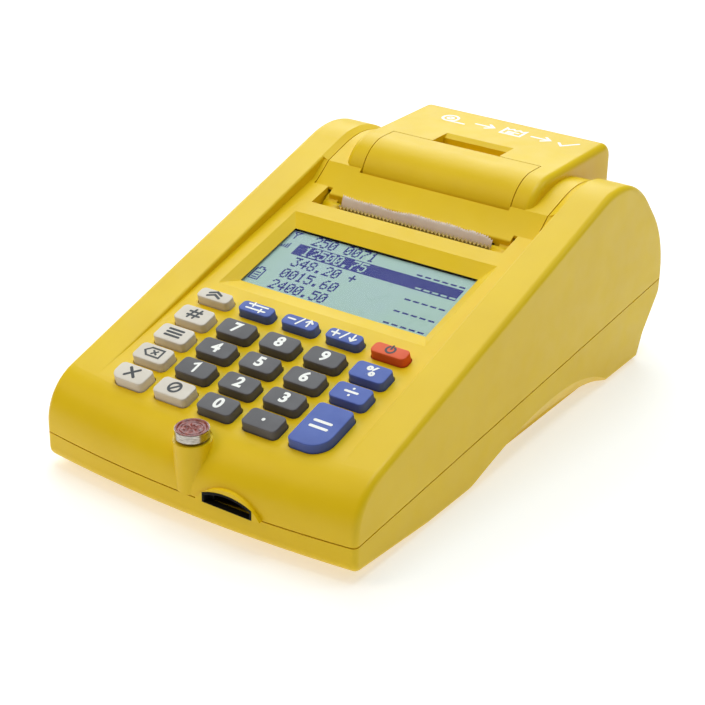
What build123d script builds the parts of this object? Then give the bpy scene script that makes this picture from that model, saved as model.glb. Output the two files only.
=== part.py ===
from build123d import *
import math
import os

# Portable ticket register: a key panel and a screen in front, a receipt printer
# under a hinged cover behind, in a two-part moulded case.
# Millimetres. +X right, +Y to the rear, +Z up. The origin is the centre of the
# footprint, on the surface that the feet stand on. Places along the case are
# given as distances from its front ("..._AT"), and places on the key panel in
# the panel's own plane: x across, s up the slope from the key field, n out of it.

# ---------------------------------------------------------------- case
CASE_WIDTH = 112.0
CASE_LENGTH = 187.0
FOOT_PROUD = 0.6  # feet below the underside
WALL = 2.2
FRONT_BOW = 3.8  # how far the front's middle stands ahead of its corners
FRONT_ROUND = 16.0  # roll from the panel into the front
NOSE_ROUND = 3.5  # under the front
SIDE_ROUND = 2.0  # edges of the flat side walls
NOSE_LIFT = 2.7  # the underside rises to the front
NOSE_LIFT_AT = 41.0

# key panel
PANEL_SLOPE = 15.1  # degrees
PANEL_HEIGHT = 35.3  # at the middle of the key field
KEYS_AT = 36.1
PANEL_SHEET = 2.2
PANEL_HALF_WIDTH = 43.6

# raised cheeks beside the panel and the printer
CHEEK_SLOPE = 17.2  # degrees
CHEEK_START_S = -22.0  # where they rise out of the panel
CHEEK_EDGE_ROUND = 0.8
CREST_AT = 138.1  # where the cheek's straight top turns over
CREST_RADIUS = 32.0
CREST_END_ANGLE = 48.0
REAR_RADIUS = 38.0  # from the slope behind the crest into the upright rear
HEEL_AT = CASE_LENGTH - 0.2
HEEL_HEIGHT = 20.5
ANKLE_AT = CASE_LENGTH - 10.1
ANKLE_HEIGHT = 8.4
BASE_END_AT = CASE_LENGTH - 13.6
HEEL_ROUND = 5.0

# parting line between the two shells
PARTING_HEIGHT = 11.2  # at the front
PARTING_SLOPE = 4.5  # degrees
PARTING_GROOVE = 0.4
TONGUE = 1.2
TONGUE_HEIGHT = 2.0

# finger scoops under both sides
SCOOP_FROM = 57.0
SCOOP_TO = 154.0
SCOOP_PEAK_AT = 124.0
SCOOP_HEIGHT = 11.4
SCOOP_DEPTH = 5.6

# ---------------------------------------------------------------- printer cover
COVER_HALF_WIDTH = 41.5
COVER_GAP = 0.35
COVER_WALL = 2.0
COVER_EAR_AT = 120.6  # front of the cover's outer corners
BAR_AT = 118.4  # front of the bar behind the paper slot
BAR_END_AT = 128.3
BAR_LIP_AT = 127.1  # edge over the recess in front of the lever
BAR_FRONT_TOP = 56.4
BAR_TOP = 63.5
BAR_HOLLOW = 0.4  # its top sags this far below the chord
BAR_UNDERSIDE = 54.4
BAR_FRONT_ROUND = 0.8
BAR_SKIN = 1.8
POD_HALF_WIDTH = 35.5
POD_TOP = 71.3
POD_FRONT_AT = 127.6
POD_FRONT_RADIUS = 13.1  # the arms and the lever share this round
POD_REAR_AT = CASE_LENGTH - 4.3
POD_REAR_ROUND = 5.0
POD_SIDE_ROUND = 2.4
STRIP_DROP = 1.2  # of the strips beside the pod, below the cheeks' tops
CHEEK_FALL_END = 44.3  # the cheeks fall to the strips from here inwards
COVER_SKIRT_HEIGHT = 53.0
COVER_SKIRT = 1.5
COVER_HINGE_AT = POD_REAR_AT - 4.1
COVER_HINGE_HEIGHT = 46.0
HINGE_PIN_RADIUS = 1.5
HINGE_CLEARANCE = 0.05
KNUCKLE_RADIUS = 3.7
KNUCKLE_INNER = 36.5
COVER_OPEN_ANGLE = 90.0

# release lever in the pod
LEVER_HALF_WIDTH = 28.0
LEVER_GAP = 0.35
LEVER_REAR_AT = 146.8
LEVER_EDGE_HEIGHT = 60.6  # its front edge, down in the recess
LEVER_SKIN = 1.8
LEVER_WEB = 2.0
LEVER_PIVOT_AT = 134.7
LEVER_PIVOT_HEIGHT = 60.2
LEVER_PIN_RADIUS = 1.25
LEVER_BOSS_RADIUS = 2.6
LEVER_LUG_INNER = 28.8
LEVER_LUG_THICKNESS = 2.0
CAM_RADIUS = 5.4
CAM_ANGLE = -120.0  # degrees, direction of the nose at rest
CAM_WIDTH = 3.0
SPRING_WIRE = 0.5
SPRING_FROM = 25.2
PIN_DEPTH = 5.0
RECESS_FLOOR = 58.0
RECESS_WALL = 1.2
RECESS_REAR_AT = 131.6
RECESS_REAR_TOP = 61.4
NOTCH_HALF_WIDTH = 12.8
NOTCH_LENGTH = 9.6
NOTCH_DEPTH = 5.4
NOTCH_WALL = 1.5
NOTCH_LEAN = 0.8
NOTCH_CHAMFER = 2.0
NOTCH_CHAMFER_DEPTH = 1.1

# ---------------------------------------------------------------- paper path
SLOT_AT = 110.8
PAPER_WIDTH = 57.0
PAPER_THICKNESS = 0.12
ROLL_RADIUS = 18.5
ROLL_AT = 152.6
ROLL_HEIGHT = 42.5
CORE_RADIUS = 8.0
CORE_WALL = 1.5
BUCKET_CLEARANCE = 0.4
BUCKET_WALL = 1.6
BUCKET_FROM_ANGLE = 242.0  # degrees round the roll, from the rear
BUCKET_TO_ANGLE = 355.0
BUCKET_INNER = PAPER_WIDTH / 2 + 0.8
BUCKET_TOP = 44.5
PLATEN_AT = 122.9
PLATEN_HEIGHT = 49.0
PLATEN_RADIUS = 5.5
PLATEN_SHAFT_RADIUS = 2.0
SHAFT_CLEARANCE = 0.05
PAPER_GAP = 0.3
PAPER_TOP = 56.9
TEAR_BAR_TOP = 54.8
TEAR_PITCH = 0.95
TEAR_DEPTH = 0.7

# printer frame and gear train, on the right of the paper
FRAME_FROM_AT = 112.1
FRAME_TO_AT = 134.1
FRAME_TOP = 52.0
BRIDGE_TOP = 54.6  # the cams of the lever push off this cross member
BRIDGE_LENGTH = 3.6
BRIDGE_THICKNESS = 2.4
SLOT_CLEARANCE = 0.3
SLOT_FLARE = 1.2
HEAD_THICKNESS = 1.15
HEAD_LOW = 42.0
HEAD_HIGH = 52.0
SINK_THICKNESS = 2.2
SINK_LOW = 40.0
SINK_HIGH = 50.0
TEAR_BAR_THICKNESS = 0.6
TEAR_BAR_HALF_WIDTH = PAPER_WIDTH / 2 + 0.8
MOTOR_RADIUS = 7.5
MOTOR_LENGTH = 16.0
PLATE_INNER = PAPER_WIDTH / 2 + 0.5
PLATE_THICKNESS = 1.4
LUG_INNER = PLATE_INNER + PLATE_THICKNESS + 0.4
LUG_THICKNESS = 1.6
BUSH_RADIUS = 3.6
LUG_RIM = 1.6
GEAR_INNER = LUG_INNER + LUG_THICKNESS + 0.4
GEAR_WIDTH = 2.6
SLOT_HALF_WIDTH = GEAR_INNER + GEAR_WIDTH + 0.6
BAR_HALF_WIDTH = SLOT_HALF_WIDTH - 1.7
GUARD_RADIUS = 6.3  # curved guards in front of the gear, at the slot's ends
GUARD_THICKNESS = 1.0
GEAR_MODULE = 0.6
PLATEN_TEETH = 18
IDLER_TEETH = 24
PINION_TEETH = 12
PINION_STEP = 8  # idler teeth from its mesh with the platen gear to the pinion
TOOTH_BACKLASH = 0.16
AXLE_RADIUS = 1.5
MOTOR_SHAFT_RADIUS = 1.0
SHAFT_IN_MOTOR = 5.0

# ---------------------------------------------------------------- keys
KEY_PITCH_X = 16.05
KEY_PITCH_S = 10.0
KEY_HEIGHT = 2.9
KEY_WIDTH = 12.1
KEY_DEPTH = 7.1
KEY_CORNER = 1.6
KEY_TAPER = 1.5  # degrees
KEY_TOP_CHAMFER = 0.3
SMALL_KEY_DEPTH = 4.7
SMALL_ROW_S = 20.4
KEY_CLEARANCE = 0.3
KEY_FLANGE = 0.55
KEY_FLANGE_THICKNESS = 0.8
KEY_TRAVEL = 1.2
QUANTITY_CORNER = 3.5
TOTAL_CORNER = 6.0
MAT_THICKNESS = 0.7
MAT_HALF_WIDTH = 39.0
KEY_BOARD_FROM_S = -26.0
KEY_BOARD_TO_S = 25.0
BOARD_POST_X = 41.3
BOARD_POST_S = 20.0
BOARD_POST_RADIUS = 1.3

# ---------------------------------------------------------------- screen
SCREEN_S = 50.2
SCREEN_HALF_WIDTH = 34.3
SCREEN_HALF_DEPTH = 15.1
BEZEL_SIDE = 3.7
BEZEL_FRONT = 6.1
BEZEL_REAR = 5.7
WINDOW_THICKNESS = 0.8
LCD_THICKNESS = 4.6
WINDOW_MARGIN = 2.2

# ---------------------------------------------------------------- seal and port
SEAL_AT = 4.3  # the axis, at the rim
SEAL_TOP = 30.4
SEAL_LEAN = 2.5  # degrees
CUP_RADIUS = 5.0
CUP_BAND = 2.5  # height of the cup's full width
CUP_FOOT_RADIUS = 4.4
CUP_HEIGHT = 4.1
CUP_WALL = 0.45
CUP_FLOOR = 0.8
SEAL_BOSS_RADIUS = 5.65
SEAL_BOSS_DOWN = 3.4  # its top below the rim of the cup
SEAL_HEAD_RADIUS = 2.4
SEAL_HEAD_HEIGHT = 1.0
SEAL_SCREW_LENGTH = 9.0
WAX_TOP = 0.9  # below the rim
PORT_X = 15.6
PORT_HALF_WIDTH = 8.2
PORT_SIDE_HEIGHT = 2.6  # straight sides above the parting line
PORT_HEIGHT = 4.45
PORT_LIP_HALF_WIDTH = 11.5
PORT_LIP_HEIGHT = 6.2
PORT_LIP_PROUD = 0.6
CONNECTOR_FROM_AT = 3.6
CONNECTOR_NOSE = 1.8
CONNECTOR_TO_AT = 14.0
CONNECTOR_HALF_WIDTH = 9.0
CONNECTOR_HEIGHT = 6.0
SOCKET_HALF_WIDTH = 6.2
SOCKET_END_AT = 12.0

# ---------------------------------------------------------------- inside
FLOOR = 2.2
BOARD_THICKNESS = 1.6
BOARD_HEIGHT = 9.4
SCREW_X = 47.6
SCREW_FRONT_AT = 22.0
SCREW_REAR_AT = CASE_LENGTH - 24.0
SCREW_RADIUS = 1.5
SCREW_HEAD_RADIUS = 2.8
SCREW_LENGTH = 12.0
SCREW_HEAD_HEIGHT = 1.8
HEAD_LEDGE = 4.0
BOSS_RADIUS = 3.6
FOOT_RADIUS = 4.5
FOOT_X = 36.0
FOOT_FRONT_AT = 36.0
FOOT_REAR_AT = CASE_LENGTH - 24.0
DISPLAY_HALF_WIDTH = 28.0
DISPLAY_LOW = 28.4
DISPLAY_HIGH = 38.4
DISPLAY_DEPTH = 5.0
SHELF_THICKNESS = 2.0
BOARD_FROM_AT = 8.2
BOARD_TO_AT = 60.0
BOARD_HALF_WIDTH = 43.5
BOARD_POST = 3.0
BOARD_POSTS_X = 40.0
BOARD_POSTS_AT = (15.0, 54.0)
# x, distance from the front, width, depth, height
BOARD_PARTS = [
    (-28.0, 24.0, 14.0, 14.0, 1.4),
    (-8.0, 18.0, 10.0, 6.0, 1.2),
    (32.0, 22.0, 8.0, 12.0, 3.0),
    (-30.0, 46.0, 18.0, 8.0, 2.4),
]
MEMORY_FROM_X = 2.0
MEMORY_TO_X = 30.0
MEMORY_FROM_AT = 32.0
MEMORY_TO_AT = 56.0
MEMORY_HEIGHT = 7.0
BATTERY_HALF_WIDTH = 33.0
BATTERY_FROM_AT = 66.0
BATTERY_TO_AT = 104.0
BATTERY_HEIGHT = 18.8
BATTERY_ROUND = 6.0
FIXED_FIT = 0.02  # between pieces that are pressed or glued together
REACH = 150.0  # larger than the case, for half spaces

# ---------------------------------------------------------------- worked out
# The seal's boss overhangs the front, so the footprint's centre lies ahead of the case's.
PARTING_TILT = math.radians(PARTING_SLOPE)
SEAL_TILT = math.radians(SEAL_LEAN)
SEAL_BOSS_AT = SEAL_AT + SEAL_BOSS_DOWN * math.sin(SEAL_TILT)
SEAL_PROUD = SEAL_BOSS_RADIUS * math.cos(SEAL_TILT) - SEAL_BOSS_AT
FRONT_Y = -(CASE_LENGTH + SEAL_PROUD) / 2 + SEAL_PROUD
HALF_WIDTH = CASE_WIDTH / 2


def at(distance):
    """Y of a place that is this far behind the front."""
    return FRONT_Y + distance


REAR_Y = at(CASE_LENGTH)
SLOPE = math.radians(PANEL_SLOPE)
PANEL = Plane(
    origin=(0, at(KEYS_AT), PANEL_HEIGHT),
    x_dir=(1, 0, 0),
    z_dir=(0, -math.sin(SLOPE), math.cos(SLOPE)),
)


def panel_yz(s, n=0.0):
    """Y and Z of a point of the panel's plane, s up the slope and n above it."""
    y = at(KEYS_AT) + s * math.cos(SLOPE) - n * math.sin(SLOPE)
    z = PANEL_HEIGHT + s * math.sin(SLOPE) + n * math.cos(SLOPE)
    return y, z


CHEEK_TILT = math.radians(CHEEK_SLOPE)
CHEEK_Y, CHEEK_Z = panel_yz(CHEEK_START_S)


def cheek_height(y):
    """Height of the cheeks' straight top at y."""
    return CHEEK_Z + (y - CHEEK_Y) * math.tan(CHEEK_TILT)


def parting_height(y):
    """Height of the parting line at y."""
    return PARTING_HEIGHT + (y - FRONT_Y) * math.tan(PARTING_TILT)


def bar_height(y):
    """Height of the bar's hollow top at y."""
    run = (y - at(BAR_AT)) / (BAR_END_AT - BAR_AT)
    return BAR_FRONT_TOP + run * (BAR_TOP - BAR_FRONT_TOP) - 4 * BAR_HOLLOW * run * (1 - run)


HINGE_Y, HINGE_Z = at(COVER_HINGE_AT), COVER_HINGE_HEIGHT
HINGE_BARREL = POD_REAR_AT - COVER_HINGE_AT
SHELF_TOP = HINGE_Z - HINGE_BARREL - 0.5
OPENING_HALF_WIDTH = COVER_HALF_WIDTH + COVER_GAP
PLATEN_Y, PLATEN_Z = at(PLATEN_AT), PLATEN_HEIGHT
ROLL_Y, ROLL_Z = at(ROLL_AT), ROLL_HEIGHT
LEVER_Y, LEVER_Z = at(LEVER_PIVOT_AT), LEVER_PIVOT_HEIGHT
UNDERSIDE = FOOT_PROUD
FLOOR_TOP = UNDERSIDE + FLOOR
FOOT_SEAT = UNDERSIDE + 0.6
POD_ROUND_Y = at(POD_FRONT_AT) + POD_FRONT_RADIUS
POD_ROUND_Z = POD_TOP - POD_FRONT_RADIUS
KEY_NECK = PANEL_SHEET + PAPER_GAP
KEY_BOTTOM = KEY_NECK + KEY_FLANGE_THICKNESS
MAT_TOP = KEY_BOTTOM + KEY_TRAVEL + 0.3
KEY_BOARD_TOP = MAT_TOP + MAT_THICKNESS
MOTOR_END = PLATE_INNER - FIXED_FIT
HEAD_Y = PLATEN_Y - PLATEN_RADIUS - PAPER_GAP - PAPER_THICKNESS / 2 - 0.09
IDLER_Y = PLATEN_Y
IDLER_Z = PLATEN_Z - GEAR_MODULE * (PLATEN_TEETH + IDLER_TEETH) / 2
STEP_ANGLE = math.pi / 2 + PINION_STEP * 2 * math.pi / IDLER_TEETH
PINION_REACH = GEAR_MODULE * (IDLER_TEETH + PINION_TEETH) / 2
PINION_Y = IDLER_Y + PINION_REACH * math.cos(STEP_ANGLE)
PINION_Z = IDLER_Z + PINION_REACH * math.sin(STEP_ANGLE)
SCREW_PLACES = [(x, at(d)) for x in (-SCREW_X, SCREW_X) for d in (SCREW_FRONT_AT, SCREW_REAR_AT)]
FOOT_PLACES = [(x, at(d)) for x in (-FOOT_X, FOOT_X) for d in (FOOT_FRONT_AT, FOOT_REAR_AT)]
BOARD_PLACES = [(x, at(d)) for x in (-BOARD_POSTS_X, BOARD_POSTS_X) for d in BOARD_POSTS_AT]
PARTING = Plane(
    origin=(0, FRONT_Y, PARTING_HEIGHT),
    x_dir=(1, 0, 0),
    z_dir=(0, -math.sin(PARTING_TILT), math.cos(PARTING_TILT)),
)


def yz_face(*edges):
    """A face in the plane x = 0, from edges whose points are given as (y, z)."""
    return Plane.YZ * make_face(list(edges))


def across(face, x_from, x_to):
    """A face of the plane x = 0, carried across from x_from to x_to."""
    low, high = min(x_from, x_to), max(x_from, x_to)
    return Pos(low, 0, 0) * extrude(face, high - low, dir=(1, 0, 0))


def block(x, y, z):
    """A box between three pairs of limits."""
    size = [abs(b - a) for a, b in (x, y, z)]
    middle = [(a + b) / 2 for a, b in (x, y, z)]
    return Pos(*middle) * Box(*size)


def rod(radius, x_from, x_to, y, z):
    """A round bar along X."""
    length = abs(x_to - x_from)
    return Pos((x_from + x_to) / 2, y, z) * Rot(0, 90, 0) * Cylinder(radius, length)


def both_sides(shape):
    """A shape and its mirror image in the plane x = 0."""
    return shape + mirror(shape, Plane.YZ)


# ---------------------------------------------------------------- outer form
def side_outline(inset=0.0):
    """The case seen from the side; inset moves every edge inwards."""
    crest_y = at(CREST_AT)
    crest_z = cheek_height(crest_y)
    centre_y = crest_y + CREST_RADIUS * math.sin(CHEEK_TILT)
    centre_z = crest_z - CREST_RADIUS * math.cos(CHEEK_TILT)
    turn = math.radians(CREST_END_ANGLE)
    top = (centre_y, centre_z + CREST_RADIUS)
    over = (centre_y + CREST_RADIUS * math.sin(turn), centre_z + CREST_RADIUS * math.cos(turn))
    front_top = (FRONT_Y, cheek_height(FRONT_Y))
    rear_centre_y = REAR_Y - REAR_RADIUS
    slope = (rear_centre_y + REAR_RADIUS * math.sin(turn) - over[0]) / math.cos(turn)
    bend = (over[0] + slope * math.cos(turn), over[1] - slope * math.sin(turn))
    rear = (REAR_Y, bend[1] - REAR_RADIUS * math.cos(turn))
    half = (turn + math.pi / 2) / 2
    rounding = (
        rear_centre_y + REAR_RADIUS * math.sin(half),
        rear[1] + REAR_RADIUS * math.cos(half),
    )
    heel = (at(HEEL_AT), HEEL_HEIGHT)
    ankle = (at(ANKLE_AT), ANKLE_HEIGHT)
    base_end = (at(BASE_END_AT), UNDERSIDE)
    lift = (at(NOSE_LIFT_AT), UNDERSIDE)
    nose = (FRONT_Y, UNDERSIDE + NOSE_LIFT)
    edges = [
        Line(nose, front_top),
        Line(front_top, (crest_y, crest_z)),
        ThreePointArc((crest_y, crest_z), top, over),
        Line(over, bend),
        ThreePointArc(bend, rounding, rear),
        FilletPolyline(rear, heel, ankle, base_end, radius=HEEL_ROUND),
        Line(base_end, lift),
        Line(lift, nose),
    ]
    face = make_face(edges)
    if inset:
        face = offset(face, -inset, kind=Kind.INTERSECTION)
    return Plane.YZ * face


def plan_outline(inset=0.0):
    """The case seen from above: straight sides and a bowed front."""
    x = HALF_WIDTH - inset
    corner_y = FRONT_Y + FRONT_BOW + inset
    middle_y = FRONT_Y + inset
    rear_y = REAR_Y + 5.0
    return make_face([
        ThreePointArc((-x, corner_y), (0, middle_y), (x, corner_y)),
        Line((x, corner_y), (x, rear_y)),
        Line((x, rear_y), (-x, rear_y)),
        Line((-x, rear_y), (-x, corner_y)),
    ])


def outer_block(inset=0.0):
    """The whole outer form, or the same form with every wall moved in."""
    x = HALF_WIDTH - inset
    form = across(side_outline(inset), -x, x)
    form &= extrude(plan_outline(inset), 100.0)
    form = fillet(front_edges(form)[-1], FRONT_ROUND - inset)
    if inset == 0.0:
        form = fillet(front_edges(form)[0], NOSE_ROUND)
        sides = form.faces().filter_by(Axis.X)
        form = fillet(sides.edges(), SIDE_ROUND)
    return form


def front_edges(form):
    """The edges of the bowed front, lowest first."""
    front = form.faces().filter_by(GeomType.CYLINDER).sort_by(Axis.Y)[0]
    return front.edges().sort_by(Axis.Z)


# ---------------------------------------------------------------- shared cutters
def bar_outline():
    """The bar behind the paper slot, from the side: its top is hollow."""
    front_y, rear_y = at(BAR_AT), at(BAR_END_AT)
    middle_y = (front_y + rear_y) / 2
    front, rear = (front_y, bar_height(front_y)), (rear_y, bar_height(rear_y))
    return yz_face(
        Polyline(rear, (rear_y, BAR_UNDERSIDE), (front_y, BAR_UNDERSIDE), front),
        ThreePointArc(front, (middle_y, bar_height(middle_y)), rear),
    )


def above_panel(n):
    """The space above the panel's plane, n away from it."""
    return PANEL * Pos(0, 0, n + REACH) * Box(2 * REACH, 4 * REACH, 2 * REACH)


def above_parting(n):
    """The space above the parting plane, n away from it."""
    return PARTING * Pos(0, 0, n + REACH) * Box(2 * REACH, 4 * REACH, 2 * REACH)


def panel_pocket():
    """What is cut from the outer form to leave the panel between the cheeks."""
    end_y = at(BAR_END_AT)
    pocket = block((-PANEL_HALF_WIDTH, PANEL_HALF_WIDTH), (CHEEK_Y, end_y), (0, REACH))
    # beside the cover it ends in the same hollow rise as the cover's bar
    pocket -= across(bar_outline(), -PANEL_HALF_WIDTH, PANEL_HALF_WIDTH)
    # the cheeks' inner edges are rounded along their sloping tops
    r = CHEEK_EDGE_ROUND
    corner = Pos(PANEL_HALF_WIDTH + r / 2, -r / 2) * Rectangle(r, r)
    corner -= Pos(PANEL_HALF_WIDTH + r, -r) * Circle(r)
    cheek = Plane(
        origin=(0, CHEEK_Y, CHEEK_Z),
        x_dir=(1, 0, 0),
        z_dir=(0, -math.cos(CHEEK_TILT), -math.sin(CHEEK_TILT)),
    )
    length = (end_y - CHEEK_Y) / math.cos(CHEEK_TILT)
    edge = cheek * extrude(corner, -length)
    return (pocket + both_sides(edge)) & above_panel(0.0)


def key_layout():
    """Every key: name, x, s, width, depth, and radii of its four corners."""
    columns = [KEY_PITCH_X * i for i in (-2, -1, 0, 1, 2)]
    rows = [
        (KEY_PITCH_S, ["key_lookup", "key_7", "key_8", "key_9", "key_pay"]),
        (0.0, ["key_department", "key_4", "key_5", "key_6", "key_subtotal"]),
        (-KEY_PITCH_S, ["key_void", "key_1", "key_2", "key_3", None]),
        (-2 * KEY_PITCH_S, ["key_quantity", "key_clear", "key_0", "key_dot", None]),
    ]
    keys = []
    small = ["key_feed", "key_function", "key_minus", "key_plus", "key_mode"]
    for x, name in zip(columns, small):
        keys.append((name, x, SMALL_ROW_S, KEY_WIDTH, SMALL_KEY_DEPTH, None, 0))
    for s, names in rows:
        for x, name in zip(columns, names):
            if name == "key_quantity":
                keys.append((name, x, s, KEY_WIDTH, KEY_DEPTH, (-1, -1), QUANTITY_CORNER))
            elif name:
                keys.append((name, x, s, KEY_WIDTH, KEY_DEPTH, None, 0))
    total_depth = KEY_PITCH_S + KEY_DEPTH
    total_s = -1.5 * KEY_PITCH_S
    keys.append(("key_total", columns[4], total_s, KEY_WIDTH, total_depth, (1, -1), TOTAL_CORNER))
    return keys


def key_outline(width, depth, big_corner, big_radius, grow=0.0):
    """A key seen from above; one corner may have a larger radius."""
    outline = Rectangle(width + 2 * grow, depth + 2 * grow)
    corners = outline.vertices()
    if big_corner:
        def reach(vertex):
            return vertex.X * big_corner[0] + vertex.Y * big_corner[1]

        outline = fillet(sorted(corners, key=reach)[:-1], KEY_CORNER + grow)
        return fillet(max(outline.vertices(), key=reach), big_radius + grow)
    return fillet(corners, KEY_CORNER + grow)


def key_cap(width, depth, big_corner, big_radius):
    """A moulded rubber key: tapered head, straight neck and a flange below."""
    outline = key_outline(width, depth, big_corner, big_radius)
    shrink = -KEY_HEIGHT * math.tan(math.radians(KEY_TAPER))
    top = Pos(0, 0, KEY_HEIGHT) * key_outline(width, depth, big_corner, big_radius, shrink)
    head = loft([outline, top], ruled=True)
    head = chamfer(head.faces().sort_by(Axis.Z)[-1].edges(), KEY_TOP_CHAMFER)
    neck = extrude(outline, -KEY_NECK)
    flange_outline = key_outline(width, depth, big_corner, big_radius, KEY_FLANGE)
    flange = Pos(0, 0, -KEY_NECK) * extrude(flange_outline, -KEY_FLANGE_THICKNESS)
    return head + neck + flange


def screen_bezel():
    """The cut for the screen: four slopes down to the window's edge."""
    low = Rectangle(2 * SCREEN_HALF_WIDTH, 2 * SCREEN_HALF_DEPTH)
    high = Pos(0, (BEZEL_REAR - BEZEL_FRONT) / 2) * Rectangle(
        2 * (SCREEN_HALF_WIDTH + BEZEL_SIDE),
        2 * SCREEN_HALF_DEPTH + BEZEL_FRONT + BEZEL_REAR,
    )
    slopes = loft([Pos(0, 0, -PANEL_SHEET) * low, high], ruled=True)
    through = Pos(0, 0, -2 * PANEL_SHEET) * extrude(low, 1.5 * PANEL_SHEET)
    return PANEL * Pos(0, SCREEN_S, 0) * (slopes + through)


def seal_axis():
    """The seal's axis, with its origin in the middle of the cup's rim."""
    return Plane(
        origin=(0, at(SEAL_AT), SEAL_TOP),
        x_dir=(1, 0, 0),
        z_dir=(0, -math.sin(SEAL_TILT), math.cos(SEAL_TILT)),
    )


def port_arch(half, side, top, low=-1.0):
    """An arch over the port, in the front's plane; heights are above the parting line."""
    foot, shoulder, crown = [PARTING_HEIGHT + h for h in (low, side, top)]
    face = make_face([
        ThreePointArc((-half, shoulder), (0, crown), (half, shoulder)),
        Polyline((half, shoulder), (half, foot), (-half, foot), (-half, shoulder)),
    ])
    return Plane(origin=(PORT_X, FRONT_Y, 0), x_dir=(1, 0, 0), z_dir=(0, -1, 0)) * face


def port_opening(inset=0.0, low=-1.0):
    return port_arch(PORT_HALF_WIDTH - inset, PORT_SIDE_HEIGHT - inset, PORT_HEIGHT - inset, low)


# ---------------------------------------------------------------- the two shells
def cheek_fall():
    """What is cut from a cheek where it falls to the strip of the cover beside it."""
    kept = loft([
        Pos(OPENING_HALF_WIDTH, 0, 0) * side_outline(STRIP_DROP),
        Pos(CHEEK_FALL_END, 0, 0) * side_outline(),
    ], ruled=True)
    edge = block(
        (OPENING_HALF_WIDTH, CHEEK_FALL_END),
        (at(BAR_END_AT), at(POD_REAR_AT)),
        (HINGE_Z, REACH),
    )
    return edge - kept


def upper_case(outer, inner, pocket):
    panel_side = PANEL_HALF_WIDTH + WALL
    cavity = inner - (
        above_panel(-PANEL_SHEET)
        & block((-panel_side, panel_side), (FRONT_Y, at(BAR_END_AT) + 1.0), (0, REACH))
    )
    # walls of the printer well, down to just above the lower shell's tongue
    well_wall = block(
        (OPENING_HALF_WIDTH, OPENING_HALF_WIDTH + WALL),
        (at(COVER_EAR_AT) - WALL, REAR_Y),
        (0, REACH),
    )
    cavity -= both_sides(well_wall) & above_parting(TONGUE_HEIGHT + 0.5)
    shell = outer - cavity - pocket - both_sides(cheek_fall())
    shell &= above_parting(PARTING_GROOVE / 2)
    # opening for the cover, and the paper slot in front of it
    opening = block(
        (-OPENING_HALF_WIDTH, OPENING_HALF_WIDTH),
        (at(COVER_EAR_AT) - COVER_GAP, REAR_Y + 10),
        (SHELF_TOP, REACH),
    )
    slot = block(
        (-SLOT_HALF_WIDTH, SLOT_HALF_WIDTH),
        (at(SLOT_AT), at(COVER_EAR_AT)),
        (SHELF_TOP, REACH),
    )
    shell = shell - opening - slot
    shelf = block(
        (-OPENING_HALF_WIDTH, OPENING_HALF_WIDTH),
        (HINGE_Y - 2.0, REAR_Y - WALL / 2),
        (SHELF_TOP - SHELF_THICKNESS, SHELF_TOP),
    )
    shell += shelf & outer
    # hinge bosses behind the well walls
    boss = rod(
        HINGE_PIN_RADIUS + WALL,
        OPENING_HALF_WIDTH + WALL / 2,
        OPENING_HALF_WIDTH + 2 * WALL,
        HINGE_Y,
        HINGE_Z,
    )
    shell += both_sides(boss)
    pin_hole = rod(
        HINGE_PIN_RADIUS + FIXED_FIT,
        OPENING_HALF_WIDTH - 1,
        OPENING_HALF_WIDTH + 2 * WALL + 1,
        HINGE_Y,
        HINGE_Z,
    )
    shell -= both_sides(pin_hole)
    # screen and keys
    shell -= screen_bezel()
    for name, x, s, width, depth, big_corner, big_radius in key_layout():
        outline = key_outline(width, depth, big_corner, big_radius, KEY_CLEARANCE)
        hole = Pos(x, s, -1.5 * PANEL_SHEET) * extrude(outline, 2 * PANEL_SHEET)
        shell -= PANEL * hole
    for x in (-BOARD_POST_X, BOARD_POST_X):
        for s in (-BOARD_POST_S, BOARD_POST_S):
            length = KEY_BOARD_TOP - PANEL_SHEET / 2
            post = Pos(x, s, -PANEL_SHEET / 2 - length / 2) * Cylinder(BOARD_POST_RADIUS, length)
            shell += PANEL * post
    # seal boss, standing in the front wall
    boss = Pos(0, 0, -SEAL_BOSS_DOWN - SEAL_TOP / 2) * Cylinder(SEAL_BOSS_RADIUS, SEAL_TOP)
    shell += (seal_axis() * boss) & above_parting(PARTING_GROOVE / 2)
    above_boss = Pos(0, 0, -SEAL_BOSS_DOWN + REACH / 2) * Cylinder(SEAL_BOSS_RADIUS, REACH)
    foot_seat = Pos(0, 0, -CUP_HEIGHT + REACH / 2) * Cylinder(CUP_FOOT_RADIUS + FIXED_FIT, REACH)
    thread = Pos(0, 0, -CUP_HEIGHT) * Cylinder(SCREW_RADIUS + FIXED_FIT, 2 * SCREW_LENGTH)
    shell -= seal_axis() * (above_boss + foot_seat + thread)
    # the port's arch has a raised lip
    lip_face = port_arch(PORT_LIP_HALF_WIDTH, 0.0, PORT_LIP_HEIGHT)
    lip = extrude(lip_face, WALL + PORT_LIP_PROUD, both=True)
    lip &= block((-REACH, REACH), (FRONT_Y - PORT_LIP_PROUD, FRONT_Y + WALL), (0, REACH))
    shell += lip & above_parting(PARTING_GROOVE / 2)
    shell -= extrude(port_opening(), 12.0, both=True)
    # screw bosses in the cheeks
    for x, y in SCREW_PLACES:
        column = Pos(x, y, 0) * extrude(Circle(BOSS_RADIUS), REACH)
        shell += column & inner & above_parting(PARTING_GROOVE / 2)
        hole_top = parting_height(y) + SCREW_LENGTH
        shell -= Pos(x, y, hole_top / 2) * Cylinder(SCREW_RADIUS + FIXED_FIT, hole_top)
    # window in the rear wall
    shell -= block(
        (-DISPLAY_HALF_WIDTH, DISPLAY_HALF_WIDTH),
        (REAR_Y - 3 * WALL, REAR_Y + 1),
        (DISPLAY_LOW, DISPLAY_HIGH),
    )
    return shell


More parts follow.
